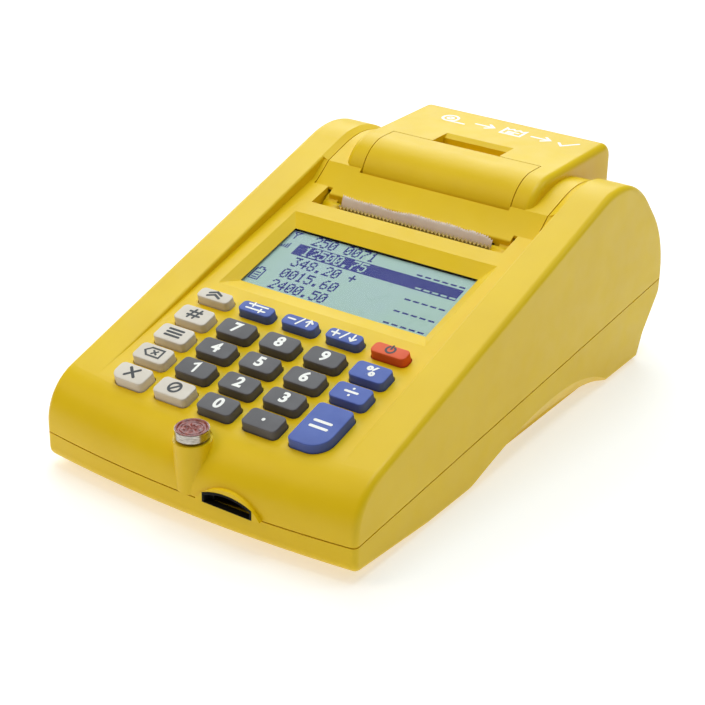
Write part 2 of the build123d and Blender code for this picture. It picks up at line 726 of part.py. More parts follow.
def side_scoops():
    """The two finger scoops: each narrows from the side wall towards the middle."""
    def lens(x, points):
        curve = Spline(*points)
        face = make_face([curve, Line(points[-1], points[0])])
        return Pos(x, 0, 0) * (Plane.YZ * face)

    outside = [
        (at(SCOOP_FROM), 0.0),
        (at(SCOOP_FROM + 24), 0.62 * SCOOP_HEIGHT),
        (at(SCOOP_PEAK_AT), SCOOP_HEIGHT),
        (at(SCOOP_TO), 0.0),
    ]
    inside = [
        (at(SCOOP_FROM + 6), 0.0),
        (at(SCOOP_FROM + 30), UNDERSIDE + 0.5),
        (at(SCOOP_PEAK_AT), UNDERSIDE + 1.0),
        (at(SCOOP_TO - 5), 0.0),
    ]
    scoop = loft([
        lens(HALF_WIDTH + 0.5, outside),
        lens(HALF_WIDTH - SCOOP_DEPTH, inside),
    ], ruled=True)
    return both_sides(scoop)


def lower_case(outer, inner):
    lining = block(
        (HALF_WIDTH - SCOOP_DEPTH - WALL, HALF_WIDTH),
        (at(SCOOP_FROM - 3), at(SCOOP_TO + 3)),
        (0, SCOOP_HEIGHT + WALL),
    )
    cavity = inner - both_sides(lining)
    below = Box(4 * REACH, 4 * REACH, 4 * REACH) - above_parting(-PARTING_GROOVE / 2)
    shell = (outer - cavity) & below
    shell -= side_scoops()
    # the tongue stands inside the upper shell's wall
    ring = outer_block(WALL + 0.05) - outer_block(WALL + TONGUE)
    ring &= above_parting(-2 * TONGUE_HEIGHT)
    ring -= above_parting(TONGUE_HEIGHT)
    gap = block(
        (-SEAL_BOSS_RADIUS - 1, PORT_X + CONNECTOR_HALF_WIDTH + 1),
        (FRONT_Y, at(CONNECTOR_TO_AT)),
        (BOARD_HEIGHT, REACH),
    )
    shell += ring - gap
    # the sill of the port's arch closes the groove
    sill = block(
        (PORT_X - PORT_HALF_WIDTH + 0.1, PORT_X + PORT_HALF_WIDTH - 0.1),
        (FRONT_Y, FRONT_Y + WALL),
        (PARTING_HEIGHT - 1, PARTING_HEIGHT + 0.05),
    )
    shell += sill & outer
    # posts under the board and the screw bosses
    for x, y in BOARD_PLACES:
        post = Pos(x, y, 0) * extrude(Circle(BOARD_POST), BOARD_HEIGHT)
        shell += post & outer
    for x, y in SCREW_PLACES:
        column = Pos(x, y, 0) * extrude(Circle(BOSS_RADIUS), REACH)
        shell += (column & outer) & below
        head_top = parting_height(y) - HEAD_LEDGE
        shell -= Pos(x, y, head_top / 2) * Cylinder(SCREW_HEAD_RADIUS + 0.2, head_top)
        shell -= Pos(x, y, 0) * Cylinder(SCREW_RADIUS + 0.15, REACH)
    for x, y in FOOT_PLACES:
        shell -= Pos(x, y, 0) * Cylinder(FOOT_RADIUS + FIXED_FIT, 2 * FOOT_SEAT)
    return shell


# ---------------------------------------------------------------- printer cover
def pod_outline(inset=0.0):
    """The pod seen from the side: front round, flat top, rear wall, hinge barrel."""
    r = POD_FRONT_RADIUS - inset
    rear_r = POD_REAR_ROUND - inset
    barrel = HINGE_BARREL - inset
    top = POD_TOP - inset
    rear_y = at(POD_REAR_AT) - inset
    turn = math.sqrt(0.5)
    low = COVER_SKIRT_HEIGHT
    return yz_face(
        Line((POD_ROUND_Y - r, low), (POD_ROUND_Y - r, POD_ROUND_Z)),
        ThreePointArc(
            (POD_ROUND_Y - r, POD_ROUND_Z),
            (POD_ROUND_Y - r * turn, POD_ROUND_Z + r * turn),
            (POD_ROUND_Y, top),
        ),
        Line((POD_ROUND_Y, top), (rear_y - rear_r, top)),
        ThreePointArc(
            (rear_y - rear_r, top),
            (rear_y - rear_r * (1 - turn), top - rear_r * (1 - turn)),
            (rear_y, top - rear_r),
        ),
        Line((rear_y, top - rear_r), (rear_y, HINGE_Z)),
        ThreePointArc(
            (rear_y, HINGE_Z),
            (HINGE_Y + barrel * turn, HINGE_Z - barrel * turn),
            (HINGE_Y, HINGE_Z - barrel),
        ),
        Polyline((HINGE_Y, HINGE_Z - barrel), (HINGE_Y, low), (POD_ROUND_Y - r, low)),
    )


def strips(inset):
    """The strips beside the pod, a little below the cheeks' tops."""
    return across(side_outline(STRIP_DROP + inset), POD_HALF_WIDTH - COVER_WALL, COVER_HALF_WIDTH)


def printer_cover():
    pod = across(pod_outline(), -POD_HALF_WIDTH, POD_HALF_WIDTH)
    sides = pod.faces().filter_by(Axis.X)
    upper_edges = [e for e in sides.edges() if e.center().Z > COVER_SKIRT_HEIGHT + 6]
    pod = fillet(upper_edges, POD_SIDE_ROUND)
    inner_x = POD_HALF_WIDTH - COVER_WALL
    pod_inside = across(pod_outline(COVER_WALL), -inner_x, inner_x)
    pod_inside += block(
        (-inner_x, inner_x),
        (POD_ROUND_Y - POD_FRONT_RADIUS + COVER_WALL, at(POD_REAR_AT) - COVER_WALL),
        (0, COVER_SKIRT_HEIGHT + 1),
    )
    # strips, kept behind the bar and above the hinge
    keep = block(
        (POD_HALF_WIDTH - COVER_WALL, COVER_HALF_WIDTH),
        (at(BAR_END_AT), REAR_Y),
        (COVER_SKIRT_HEIGHT, REACH),
    )
    keep += block(
        (POD_HALF_WIDTH - COVER_WALL, COVER_HALF_WIDTH),
        (HINGE_Y - 2 * KNUCKLE_RADIUS, REAR_Y),
        (HINGE_Z, REACH),
    )
    strip = strips(0.0) & keep
    strip_inside = strips(COVER_WALL) & block(
        (POD_HALF_WIDTH - COVER_WALL, COVER_HALF_WIDTH - COVER_SKIRT),
        (at(BAR_END_AT) + COVER_WALL, REAR_Y),
        (0, REACH),
    )
    body = pod + both_sides(strip)
    # bar and ears
    bar = across(bar_outline(), -COVER_HALF_WIDTH, COVER_HALF_WIDTH)
    front_edge = bar.edges().filter_by(Axis.X).sort_by(Axis.Y)[:2].sort_by(Axis.Z)[-1]
    bar = fillet(front_edge, BAR_FRONT_ROUND)
    bar -= both_sides(block(
        (BAR_HALF_WIDTH, COVER_HALF_WIDTH + 1),
        (at(BAR_AT) - 1, at(COVER_EAR_AT)),
        (0, REACH),
    ))
    bar_inside = across(bar_hollow(), -COVER_HALF_WIDTH + COVER_SKIRT, COVER_HALF_WIDTH - COVER_SKIRT)
    body += bar
    body = body - bar_inside - pod_inside - both_sides(strip_inside)
    # nothing hangs down between the bar and the pod
    body -= block(
        (-COVER_HALF_WIDTH + COVER_SKIRT, COVER_HALF_WIDTH - COVER_SKIRT),
        (at(BAR_AT) + COVER_WALL, POD_ROUND_Y - POD_FRONT_RADIUS + COVER_WALL + 0.1),
        (0, RECESS_FLOOR - RECESS_WALL),
    )
    # lever opening with its recess in front and the finger notch behind
    well_x = LEVER_HALF_WIDTH + LEVER_GAP
    lever_rear_y = at(LEVER_REAR_AT) + LEVER_GAP
    body -= block((-well_x, well_x), (at(BAR_LIP_AT), lever_rear_y), (RECESS_FLOOR, REACH))
    recess = block(
        (-LEVER_LUG_INNER, LEVER_LUG_INNER),
        (at(BAR_LIP_AT) - RECESS_WALL, at(RECESS_REAR_AT)),
        (RECESS_FLOOR - RECESS_WALL, RECESS_FLOOR),
    )
    recess += block(
        (-LEVER_LUG_INNER, LEVER_LUG_INNER),
        (at(RECESS_REAR_AT) - RECESS_WALL, at(RECESS_REAR_AT)),
        (RECESS_FLOOR - RECESS_WALL, RECESS_REAR_TOP),
    )
    body += recess
    lug = block(
        (LEVER_LUG_INNER, LEVER_LUG_INNER + LEVER_LUG_THICKNESS),
        (at(BAR_END_AT), LEVER_Y + LEVER_BOSS_RADIUS + 1.0),
        (RECESS_FLOOR - RECESS_WALL, REACH),
    )
    pod_solid = across(pod_outline(COVER_WALL / 2), -POD_HALF_WIDTH, POD_HALF_WIDTH)
    body += both_sides(lug & pod_solid)
    body += notch_tray()
    body -= notch_cut()
    # platen lugs, and the guards that close the slot's ends
    lug_x = (LUG_INNER, LUG_INNER + LUG_THICKNESS)
    platen_lug = rod(BUSH_RADIUS + LUG_RIM, *lug_x, PLATEN_Y, PLATEN_Z)
    platen_lug += block(
        lug_x,
        (PLATEN_Y - BUSH_RADIUS, PLATEN_Y + BUSH_RADIUS),
        (PLATEN_Z, BAR_UNDERSIDE + 2.4),
    )
    body += both_sides(platen_lug + slot_guard())
    # hinge knuckles
    knuckle = rod(KNUCKLE_RADIUS, POD_HALF_WIDTH - COVER_WALL, COVER_HALF_WIDTH, HINGE_Y, HINGE_Z)
    cheek_plate = block(
        (COVER_HALF_WIDTH - COVER_SKIRT, COVER_HALF_WIDTH),
        (HINGE_Y - KNUCKLE_RADIUS, HINGE_Y),
        (HINGE_Z, COVER_SKIRT_HEIGHT),
    )
    body += both_sides(knuckle + cheek_plate)
    holes = rod(
        HINGE_PIN_RADIUS + HINGE_CLEARANCE,
        KNUCKLE_INNER,
        COVER_HALF_WIDTH + 1,
        HINGE_Y,
        HINGE_Z,
    )
    holes += rod(BUSH_RADIUS + FIXED_FIT, LUG_INNER - 1, LUG_INNER + 3, PLATEN_Y, PLATEN_Z)
    holes += rod(LEVER_PIN_RADIUS + FIXED_FIT, LEVER_LUG_INNER - 1, LEVER_LUG_INNER + 3, LEVER_Y, LEVER_Z)
    return body - both_sides(holes)


def slot_guard():
    """A curved wall round the platen's gear, from the bar's front down into the slot."""
    outer_radius = GUARD_RADIUS + GUARD_THICKNESS
    guard_end = SLOT_HALF_WIDTH - COVER_GAP
    guard = rod(outer_radius, LUG_INNER, guard_end, PLATEN_Y, PLATEN_Z)
    guard -= rod(GUARD_RADIUS, LUG_INNER + LUG_THICKNESS, guard_end + 1, PLATEN_Y, PLATEN_Z)
    guard &= block(
        (0, REACH),
        (PLATEN_Y - outer_radius, at(BAR_AT) + BAR_SKIN),
        (PLATEN_Z - 1, BAR_UNDERSIDE + 1.2),
    )
    # between the guards the bar's front hangs down to just above the frame
    guard += block(
        (LEVER_LUG_INNER, LUG_INNER),
        (at(BAR_AT), at(BAR_AT) + GUARD_THICKNESS),
        (FRAME_TOP + 0.4, BAR_UNDERSIDE + 0.5),
    )
    return guard


def bar_hollow():
    """The space under the bar's skin."""
    front_y, rear_y = at(BAR_AT) + BAR_SKIN, at(BAR_LIP_AT) - RECESS_WALL
    return yz_face(
        Polyline(
            (front_y, 0),
            (front_y, bar_height(front_y) - BAR_SKIN),
            (rear_y, bar_height(rear_y) - BAR_SKIN),
            (rear_y, 0),
            (front_y, 0),
        ),
    )


def notch_section(grow):
    """The finger notch from the side: it runs under the lever and slopes up behind."""
    front_y = at(LEVER_REAR_AT) - 2.2 - grow
    rear_y = at(LEVER_REAR_AT) + NOTCH_LENGTH + grow
    low = POD_TOP - NOTCH_DEPTH - grow
    bend_y = rear_y - NOTCH_CHAMFER
    return yz_face(
        Polyline(
            (front_y, POD_TOP),
            (front_y, low),
            (bend_y - NOTCH_LEAN, low),
            (bend_y, POD_TOP - NOTCH_CHAMFER_DEPTH - grow / 2),
            (rear_y, POD_TOP),
            (front_y, POD_TOP),
        ),
    )


def notch_tray():
    half = NOTCH_HALF_WIDTH + NOTCH_WALL
    tray = across(notch_section(NOTCH_WALL), -half, half)
    under_lever = block(
        (-REACH, REACH),
        (0, at(LEVER_REAR_AT) + LEVER_GAP),
        (POD_TOP - LEVER_SKIN - LEVER_GAP, REACH),
    )
    return tray - under_lever


def notch_cut():
    return across(notch_section(0.0), -NOTCH_HALF_WIDTH, NOTCH_HALF_WIDTH)


# ---------------------------------------------------------------- release lever
def release_lever():
    r = POD_FRONT_RADIUS
    rear_y = at(LEVER_REAR_AT)
    edge_rise = LEVER_EDGE_HEIGHT - POD_ROUND_Z

    def on_round(radius, rise):
        return (POD_ROUND_Y - math.sqrt(radius**2 - rise**2), POD_ROUND_Z + rise)

    outer_start = on_round(r, edge_rise)
    inner_start = on_round(r - LEVER_SKIN, edge_rise)
    turn = math.sqrt(0.5)
    skin = yz_face(
        ThreePointArc(
            outer_start,
            (POD_ROUND_Y - r * turn, POD_ROUND_Z + r * turn),
            (POD_ROUND_Y, POD_TOP),
        ),
        Polyline(
            (POD_ROUND_Y, POD_TOP),
            (rear_y, POD_TOP),
            (rear_y, POD_TOP - LEVER_SKIN),
            (POD_ROUND_Y, POD_TOP - LEVER_SKIN),
        ),
        ThreePointArc(
            (POD_ROUND_Y, POD_TOP - LEVER_SKIN),
            (
                POD_ROUND_Y - (r - LEVER_SKIN) * turn,
                POD_ROUND_Z + (r - LEVER_SKIN) * turn,
            ),
            inner_start,
        ),
        Line(inner_start, outer_start),
    )
    lever = across(skin, -LEVER_HALF_WIDTH, LEVER_HALF_WIDTH)
    web = block(
        (-LEVER_HALF_WIDTH, LEVER_HALF_WIDTH),
        (LEVER_Y - LEVER_WEB / 2, LEVER_Y + LEVER_WEB / 2),
        (LEVER_Z, POD_ROUND_Z + 0.8 * r),
    )
    web &= across(pod_outline(LEVER_SKIN / 2), -LEVER_HALF_WIDTH, LEVER_HALF_WIDTH)
    lever += web
    lever += rod(LEVER_BOSS_RADIUS, -LEVER_HALF_WIDTH, LEVER_HALF_WIDTH, LEVER_Y, LEVER_Z)
    nose = math.radians(CAM_ANGLE)
    tip = (LEVER_Y + CAM_RADIUS * math.cos(nose), LEVER_Z + CAM_RADIUS * math.sin(nose))
    cam = yz_face(
        Polyline(
            (LEVER_Y - 0.9 * LEVER_BOSS_RADIUS, LEVER_Z),
            (tip[0] - 0.3, tip[1]),
            (tip[0] + 1.0, tip[1] + 0.1),
            (LEVER_Y + 0.9 * LEVER_BOSS_RADIUS, LEVER_Z),
            (LEVER_Y - 0.9 * LEVER_BOSS_RADIUS, LEVER_Z),
        ),
    )
    cams = across(cam, SPRING_FROM - CAM_WIDTH - 0.5, SPRING_FROM - 0.5)
    lever += both_sides(cams)
    # seats for the springs round the pins, and the pins' bores
    spring_seat = rod(
        LEVER_BOSS_RADIUS + 1.0,
        SPRING_FROM,
        LEVER_HALF_WIDTH + 1,
        LEVER_Y,
        LEVER_Z,
    )
    bore = rod(
        LEVER_PIN_RADIUS + SHAFT_CLEARANCE,
        SPRING_FROM - PIN_DEPTH - 0.4,
        LEVER_HALF_WIDTH + 1,
        LEVER_Y,
        LEVER_Z,
    )
    return lever - both_sides(spring_seat + bore)


def lever_pivot_pins():
    pin = rod(
        LEVER_PIN_RADIUS,
        SPRING_FROM - PIN_DEPTH,
        LEVER_LUG_INNER + LEVER_LUG_THICKNESS,
        LEVER_Y,
        LEVER_Z,
    )
    return [pin, mirror(pin, Plane.YZ)]


def lever_springs():
    """Torsion springs round the lever's pivot pins."""
    turns = 4
    pitch = SPRING_WIRE * 1.15
    radius = LEVER_PIN_RADIUS + SPRING_WIRE / 2 + FIXED_FIT
    path = Helix(pitch, pitch * turns, radius)
    start = path @ 0
    section = Plane(origin=start, z_dir=path % 0) * RegularPolygon(SPRING_WIRE / 2, 6)
    coil = sweep(section, path=path)
    placed = Pos(SPRING_FROM + 0.4, LEVER_Y, LEVER_Z) * Rot(0, 90, 0) * coil
    return [placed, mirror(placed, Plane.YZ)]


# ---------------------------------------------------------------- printer
def gear_outline(teeth, phase):
    """An involute spur gear's outline with the pressure angle of 20 degrees."""
    pitch_r = GEAR_MODULE * teeth / 2
    base_r = pitch_r * math.cos(math.radians(20))
    tip_r = pitch_r + GEAR_MODULE
    root_r = pitch_r - 1.25 * GEAR_MODULE
    half = math.pi / (2 * teeth) - TOOTH_BACKLASH / (2 * pitch_r)

    def involute(radius):
        """Half the tooth's angle at this radius."""
        def spread(r):
            ratio = math.acos(min(1.0, base_r / r))
            return math.tan(ratio) - ratio
        return half + spread(pitch_r) - spread(max(radius, base_r))

    flank = [root_r, max(base_r, root_r * 1.02), pitch_r, tip_r]
    points = []
    for tooth in range(teeth):
        middle = phase + 2 * math.pi * tooth / teeth
        for radius in flank:
            angle = middle - involute(radius)
            points.append((radius * math.cos(angle), radius * math.sin(angle)))
        for radius in reversed(flank):
            angle = middle + involute(radius)
            points.append((radius * math.cos(angle), radius * math.sin(angle)))
    return points


def gear(teeth, phase, y, z, bore):
    """A gear across X, at y and z; the phase puts one tooth at that angle from the rear."""
    points = [(y + a, z + b) for a, b in gear_outline(teeth, phase)]
    face = yz_face(Polyline(*points, points[0]))
    body = across(face, GEAR_INNER, GEAR_INNER + GEAR_WIDTH)
    return body - rod(bore, GEAR_INNER - 1, GEAR_INNER + GEAR_WIDTH + 1, y, z)


def gears():
    """The platen's gear, the idler and the pinion, tooth in gap."""
    up = math.pi / 2
    down_gap = -math.pi / 2 + math.pi / PLATEN_TEETH
    platen = gear(PLATEN_TEETH, down_gap, PLATEN_Y, PLATEN_Z, PLATEN_SHAFT_RADIUS + FIXED_FIT)
    idler = gear(IDLER_TEETH, up, IDLER_Y, IDLER_Z, AXLE_RADIUS + SHAFT_CLEARANCE)
    pinion_gap = STEP_ANGLE + math.pi + math.pi / PINION_TEETH
    pinion = gear(PINION_TEETH, pinion_gap, PINION_Y, PINION_Z, MOTOR_SHAFT_RADIUS / 2)
    shaft_end = GEAR_INNER + GEAR_WIDTH + 0.2
    pinion += rod(MOTOR_SHAFT_RADIUS, MOTOR_END - SHAFT_IN_MOTOR, shaft_end, PINION_Y, PINION_Z)
    return platen, idler, pinion


def platen_bushes():
    bush = rod(BUSH_RADIUS, PLATE_INNER - 0.1, LUG_INNER + LUG_THICKNESS, PLATEN_Y, PLATEN_Z)
    bush -= rod(PLATEN_SHAFT_RADIUS + SHAFT_CLEARANCE, 0, REACH, PLATEN_Y, PLATEN_Z)
    return [bush, mirror(bush, Plane.YZ)]


def platen_shaft():
    left = -(LUG_INNER + LUG_THICKNESS + 0.6)
    return rod(PLATEN_SHAFT_RADIUS, left, GEAR_INNER + GEAR_WIDTH + 0.2, PLATEN_Y, PLATEN_Z)


def platen_roller():
    half = PAPER_WIDTH / 2
    roller = rod(PLATEN_RADIUS, -half, half, PLATEN_Y, PLATEN_Z)
    return roller - rod(PLATEN_SHAFT_RADIUS + FIXED_FIT, -half - 1, half + 1, PLATEN_Y, PLATEN_Z)


def frame_plate():
    """One side plate: two uprights with the slot that the platen's bush drops into."""
    y_from, y_to = at(FRAME_FROM_AT), at(FRAME_TO_AT)
    slot_r = BUSH_RADIUS + SLOT_CLEARANCE
    plate = yz_face(
        Polyline(
            (y_from, FLOOR_TOP),
            (y_to, FLOOR_TOP),
            (y_to, BRIDGE_TOP),
            (PLATEN_Y + slot_r + SLOT_FLARE, BRIDGE_TOP),
            (PLATEN_Y + slot_r, PLATEN_Z),
        ),
        ThreePointArc(
            (PLATEN_Y + slot_r, PLATEN_Z),
            (PLATEN_Y, PLATEN_Z - slot_r),
            (PLATEN_Y - slot_r, PLATEN_Z),
        ),
        Polyline(
            (PLATEN_Y - slot_r, PLATEN_Z),
            (PLATEN_Y - slot_r, FRAME_TOP),
            (HEAD_Y, FRAME_TOP),
            (HEAD_Y, SINK_HIGH - 0.1),
            (y_from, SINK_HIGH - 0.1),
            (y_from, FLOOR_TOP),
        ),
    )
    return across(plate, PLATE_INNER, PLATE_INNER + PLATE_THICKNESS)


def printer_frame():
    y_from, y_to = at(FRAME_FROM_AT), at(FRAME_TO_AT)
    frame = both_sides(frame_plate())
    inside = (-PLATE_INNER, PLATE_INNER)
    frame += block(inside, (y_from, y_to), (FLOOR_TOP, FLOOR_TOP + PLATE_THICKNESS))
    frame += block(inside, (y_to - BRIDGE_LENGTH, y_to), (BRIDGE_TOP - BRIDGE_THICKNESS, BRIDGE_TOP))
    sink_y = HEAD_Y - HEAD_THICKNESS - SINK_THICKNESS
    frame += block(inside, (y_from, sink_y), (SINK_LOW, SINK_LOW + PLATE_THICKNESS))
    axle_end = GEAR_INNER + GEAR_WIDTH + 0.2
    frame += rod(AXLE_RADIUS, PLATE_INNER + 1, axle_end, IDLER_Y, IDLER_Z)
    frame -= rod(MOTOR_SHAFT_RADIUS + 0.5, PLATE_INNER - 1, PLATE_INNER + 3, PINION_Y, PINION_Z)
    return frame


def print_head():
    """Ceramic head against the paper, on its aluminium heat sink."""
    half = PLATE_INNER - 0.3
    sink_y = HEAD_Y - HEAD_THICKNESS
    head = block((-half + 2, half - 2), (sink_y, HEAD_Y), (HEAD_LOW, HEAD_HIGH))
    sink = block((-half, half), (sink_y - SINK_THICKNESS, sink_y), (SINK_LOW, SINK_HIGH))
    return head + sink


def tear_bar():
    y_to = HEAD_Y - HEAD_THICKNESS
    y_from = y_to - TEAR_BAR_THICKNESS
    count = int(2 * TEAR_BAR_HALF_WIDTH / TEAR_PITCH)
    left = -count * TEAR_PITCH / 2
    edge = [(left, SINK_HIGH)]
    for i in range(count):
        edge.append((left + i * TEAR_PITCH, TEAR_BAR_TOP - TEAR_DEPTH))
        edge.append((left + (i + 0.5) * TEAR_PITCH, TEAR_BAR_TOP))
    edge.append((-left, TEAR_BAR_TOP - TEAR_DEPTH))
    edge.append((-left, SINK_HIGH))
    face = Plane(origin=(0, y_to, 0), x_dir=(1, 0, 0), z_dir=(0, -1, 0)) * make_face(
        Polyline(*edge, edge[0])
    )
    return extrude(face, y_to - y_from, dir=(0, -1, 0))


def paper_tail():
    """Paper from the roll, under the platen and up out of the slot, torn off unevenly."""
    r_platen = PLATEN_RADIUS + PAPER_GAP
    r_roll = ROLL_RADIUS + PAPER_GAP
    dy, dz = PLATEN_Y - ROLL_Y, PLATEN_Z - ROLL_Z
    reach = math.hypot(dy, dz)
    normal = math.atan2(dz, dy) + math.acos((r_roll - r_platen) / reach)
    n_y, n_z = math.cos(normal), math.sin(normal)
    t = PAPER_THICKNESS / 2

    def edge(side):
        rp, rr = r_platen + side * t, r_roll + side * t
        on_roll = (ROLL_Y + rr * n_y, ROLL_Z + rr * n_z)
        on_platen = (PLATEN_Y + rp * n_y, PLATEN_Z + rp * n_z)
        middle = (normal + math.pi) / 2
        halfway = (PLATEN_Y + rp * math.cos(middle), PLATEN_Z + rp * math.sin(middle))
        front = (PLATEN_Y - rp, PLATEN_Z)
        return on_roll, on_platen, halfway, front

    a, b = edge(-1), edge(1)
    top = PAPER_TOP + 1.0
    section = yz_face(
        Line(a[0], a[1]),
        ThreePointArc(a[1], a[2], a[3]),
        Polyline(a[3], (a[3][0], top), (b[3][0], top), b[3]),
        ThreePointArc(b[3], b[2], b[1]),
        Line(b[1], b[0]),
        Line(b[0], a[0]),
    )
    half = PAPER_WIDTH / 2
    sheet = across(section, -half, half)
    torn = [0.2, -0.3, 0.1, -0.2, 0.5, 0.0, 0.6, -0.6]
    step = (PAPER_WIDTH + 2) / (len(torn) - 1)
    line = [(-half - 1 + i * step, PAPER_TOP + rise) for i, rise in enumerate(torn)]
    above = Polyline(*line, (half + 1, top + 1), (-half - 1, top + 1), line[0])
    waste = Plane(origin=(0, PLATEN_Y, 0), x_dir=(1, 0, 0), z_dir=(0, -1, 0)) * make_face(above)
    return sheet - extrude(waste, 2 * PLATEN_RADIUS, both=True)


def paper_roll():
    half = PAPER_WIDTH / 2
    return rod(ROLL_RADIUS, -half, half, ROLL_Y, ROLL_Z) - rod(
        CORE_RADIUS + FIXED_FIT, -half - 1, half + 1, ROLL_Y, ROLL_Z
    )


def roll_core():
    half = PAPER_WIDTH / 2
    return rod(CORE_RADIUS, -half, half, ROLL_Y, ROLL_Z) - rod(
        CORE_RADIUS - CORE_WALL, -half - 1, half + 1, ROLL_Y, ROLL_Z
    )


def paper_bucket():
    """A trough under the roll, open to the front, on two walls down to the floor."""
    r_in = ROLL_RADIUS + BUCKET_CLEARANCE
    r_out = r_in + BUCKET_WALL
    outer_x = BUCKET_INNER + BUCKET_WALL
    start, end = math.radians(BUCKET_FROM_ANGLE), math.radians(BUCKET_TO_ANGLE)

    def spot(radius, angle):
        return (ROLL_Y + radius * math.cos(angle), ROLL_Z + radius * math.sin(angle))

    middle = (start + end) / 2
    trough = across(
        yz_face(
            ThreePointArc(spot(r_in, start), spot(r_in, middle), spot(r_in, end)),
            Line(spot(r_in, end), spot(r_out, end)),
            ThreePointArc(spot(r_out, end), spot(r_out, middle), spot(r_out, start)),
            Line(spot(r_out, start), spot(r_in, start)),
        ),
        -outer_x,
        outer_x,
    )
    side = block(
        (BUCKET_INNER, outer_x),
        (ROLL_Y - 0.75 * r_out, ROLL_Y + r_out),
        (ROLL_Z - r_out, BUCKET_TOP),
    )
    lower = block((BUCKET_INNER, outer_x), (ROLL_Y - 2 * r_out, ROLL_Y + 2 * r_out), (0, ROLL_Z))
    side -= lower - rod(r_out, 0, REACH, ROLL_Y, ROLL_Z)
    bucket = trough + both_sides(side)
    for angle in (math.radians(250), math.radians(300)):
        leg_y = spot(r_out, angle)[0]
        leg_z = spot((r_in + r_out) / 2, angle)[1]
        bucket += block((-outer_x, outer_x), (leg_y - 1.0, leg_y + 1.0), (FLOOR_TOP, leg_z))
    return bucket


# ---------------------------------------------------------------- boards and battery
def on_panel(x, s, n):
    """A box between limits measured in the panel's plane."""
    return PANEL * block(x, s, n)


def keypad_mat():
    return on_panel(
        (-MAT_HALF_WIDTH, MAT_HALF_WIDTH),
        (KEY_BOARD_FROM_S, KEY_BOARD_TO_S),
        (-KEY_BOARD_TOP, -MAT_TOP),
    )


def keypad_board():
    return on_panel(
        (-BOARD_POST_X - 2, BOARD_POST_X + 2),
        (KEY_BOARD_FROM_S, KEY_BOARD_TO_S),
        (-KEY_BOARD_TOP - BOARD_THICKNESS, -KEY_BOARD_TOP),
    )


def lcd_window():
    top = -PANEL_SHEET - FIXED_FIT
    return on_panel(
        (-SCREEN_HALF_WIDTH - WINDOW_MARGIN, SCREEN_HALF_WIDTH + WINDOW_MARGIN),
        (
            SCREEN_S - SCREEN_HALF_DEPTH - WINDOW_MARGIN,
            SCREEN_S + SCREEN_HALF_DEPTH + WINDOW_MARGIN,
        ),
        (top - WINDOW_THICKNESS, top),
    )


def lcd_module():
    top = -PANEL_SHEET - WINDOW_THICKNESS - 2 * FIXED_FIT
    grow = WINDOW_MARGIN + 1.2
    return on_panel(
        (-SCREEN_HALF_WIDTH - grow, SCREEN_HALF_WIDTH + grow),
        (SCREEN_S - SCREEN_HALF_DEPTH - grow, SCREEN_S + SCREEN_HALF_DEPTH + grow),
        (top - LCD_THICKNESS, top),
    )


def main_board():
    low, high = BOARD_HEIGHT, BOARD_HEIGHT + BOARD_THICKNESS
    x = (-BOARD_HALF_WIDTH, BOARD_HALF_WIDTH)
    board = block(x, (at(BOARD_FROM_AT), at(BOARD_TO_AT)), (low, high))
    for cx, cy, w, d, h in BOARD_PARTS:
        board += block((cx - w / 2, cx + w / 2), (at(cy - d / 2), at(cy + d / 2)), (high, high + h))
    return board


def fiscal_memory():
    top = BOARD_HEIGHT + BOARD_THICKNESS
    return block(
        (MEMORY_FROM_X, MEMORY_TO_X),
        (at(MEMORY_FROM_AT), at(MEMORY_TO_AT)),
        (top, top + MEMORY_HEIGHT),
    )


def battery_pack():
    pack = block(
        (-BATTERY_HALF_WIDTH, BATTERY_HALF_WIDTH),
        (at(BATTERY_FROM_AT), at(BATTERY_TO_AT)),
        (FLOOR_TOP, FLOOR_TOP + BATTERY_HEIGHT),
    )
    return fillet(pack.edges().filter_by(Axis.X), BATTERY_ROUND)


def port_connector():
    """A socket behind the arch: its nose fills the arch, and a tongue stands deep in it."""
    board_top = BOARD_HEIGHT + BOARD_THICKNESS
    body = block(
        (PORT_X - CONNECTOR_HALF_WIDTH, PORT_X + CONNECTOR_HALF_WIDTH),
        (at(CONNECTOR_FROM_AT), at(CONNECTOR_TO_AT)),
        (board_top, board_top + CONNECTOR_HEIGHT),
    )
    nose = extrude(port_opening(0.15, low=0.2), -CONNECTOR_FROM_AT - 0.1)
    nose &= block((-REACH, REACH), (at(CONNECTOR_FROM_AT - CONNECTOR_NOSE), at(CONNECTOR_TO_AT)), (0, REACH))
    socket_low = PARTING_HEIGHT + 0.05
    socket = block(
        (PORT_X - SOCKET_HALF_WIDTH, PORT_X + SOCKET_HALF_WIDTH),
        (FRONT_Y, at(SOCKET_END_AT)),
        (socket_low, PARTING_HEIGHT + PORT_HEIGHT - 0.15),
    )
    tongue = block(
        (PORT_X - SOCKET_HALF_WIDTH + 1, PORT_X + SOCKET_HALF_WIDTH - 1),
        (at(CONNECTOR_FROM_AT) + 4.0, at(SOCKET_END_AT) + 0.5),
        (socket_low + 1.6, socket_low + 2.5),
    )
    return body + nose - socket + tongue


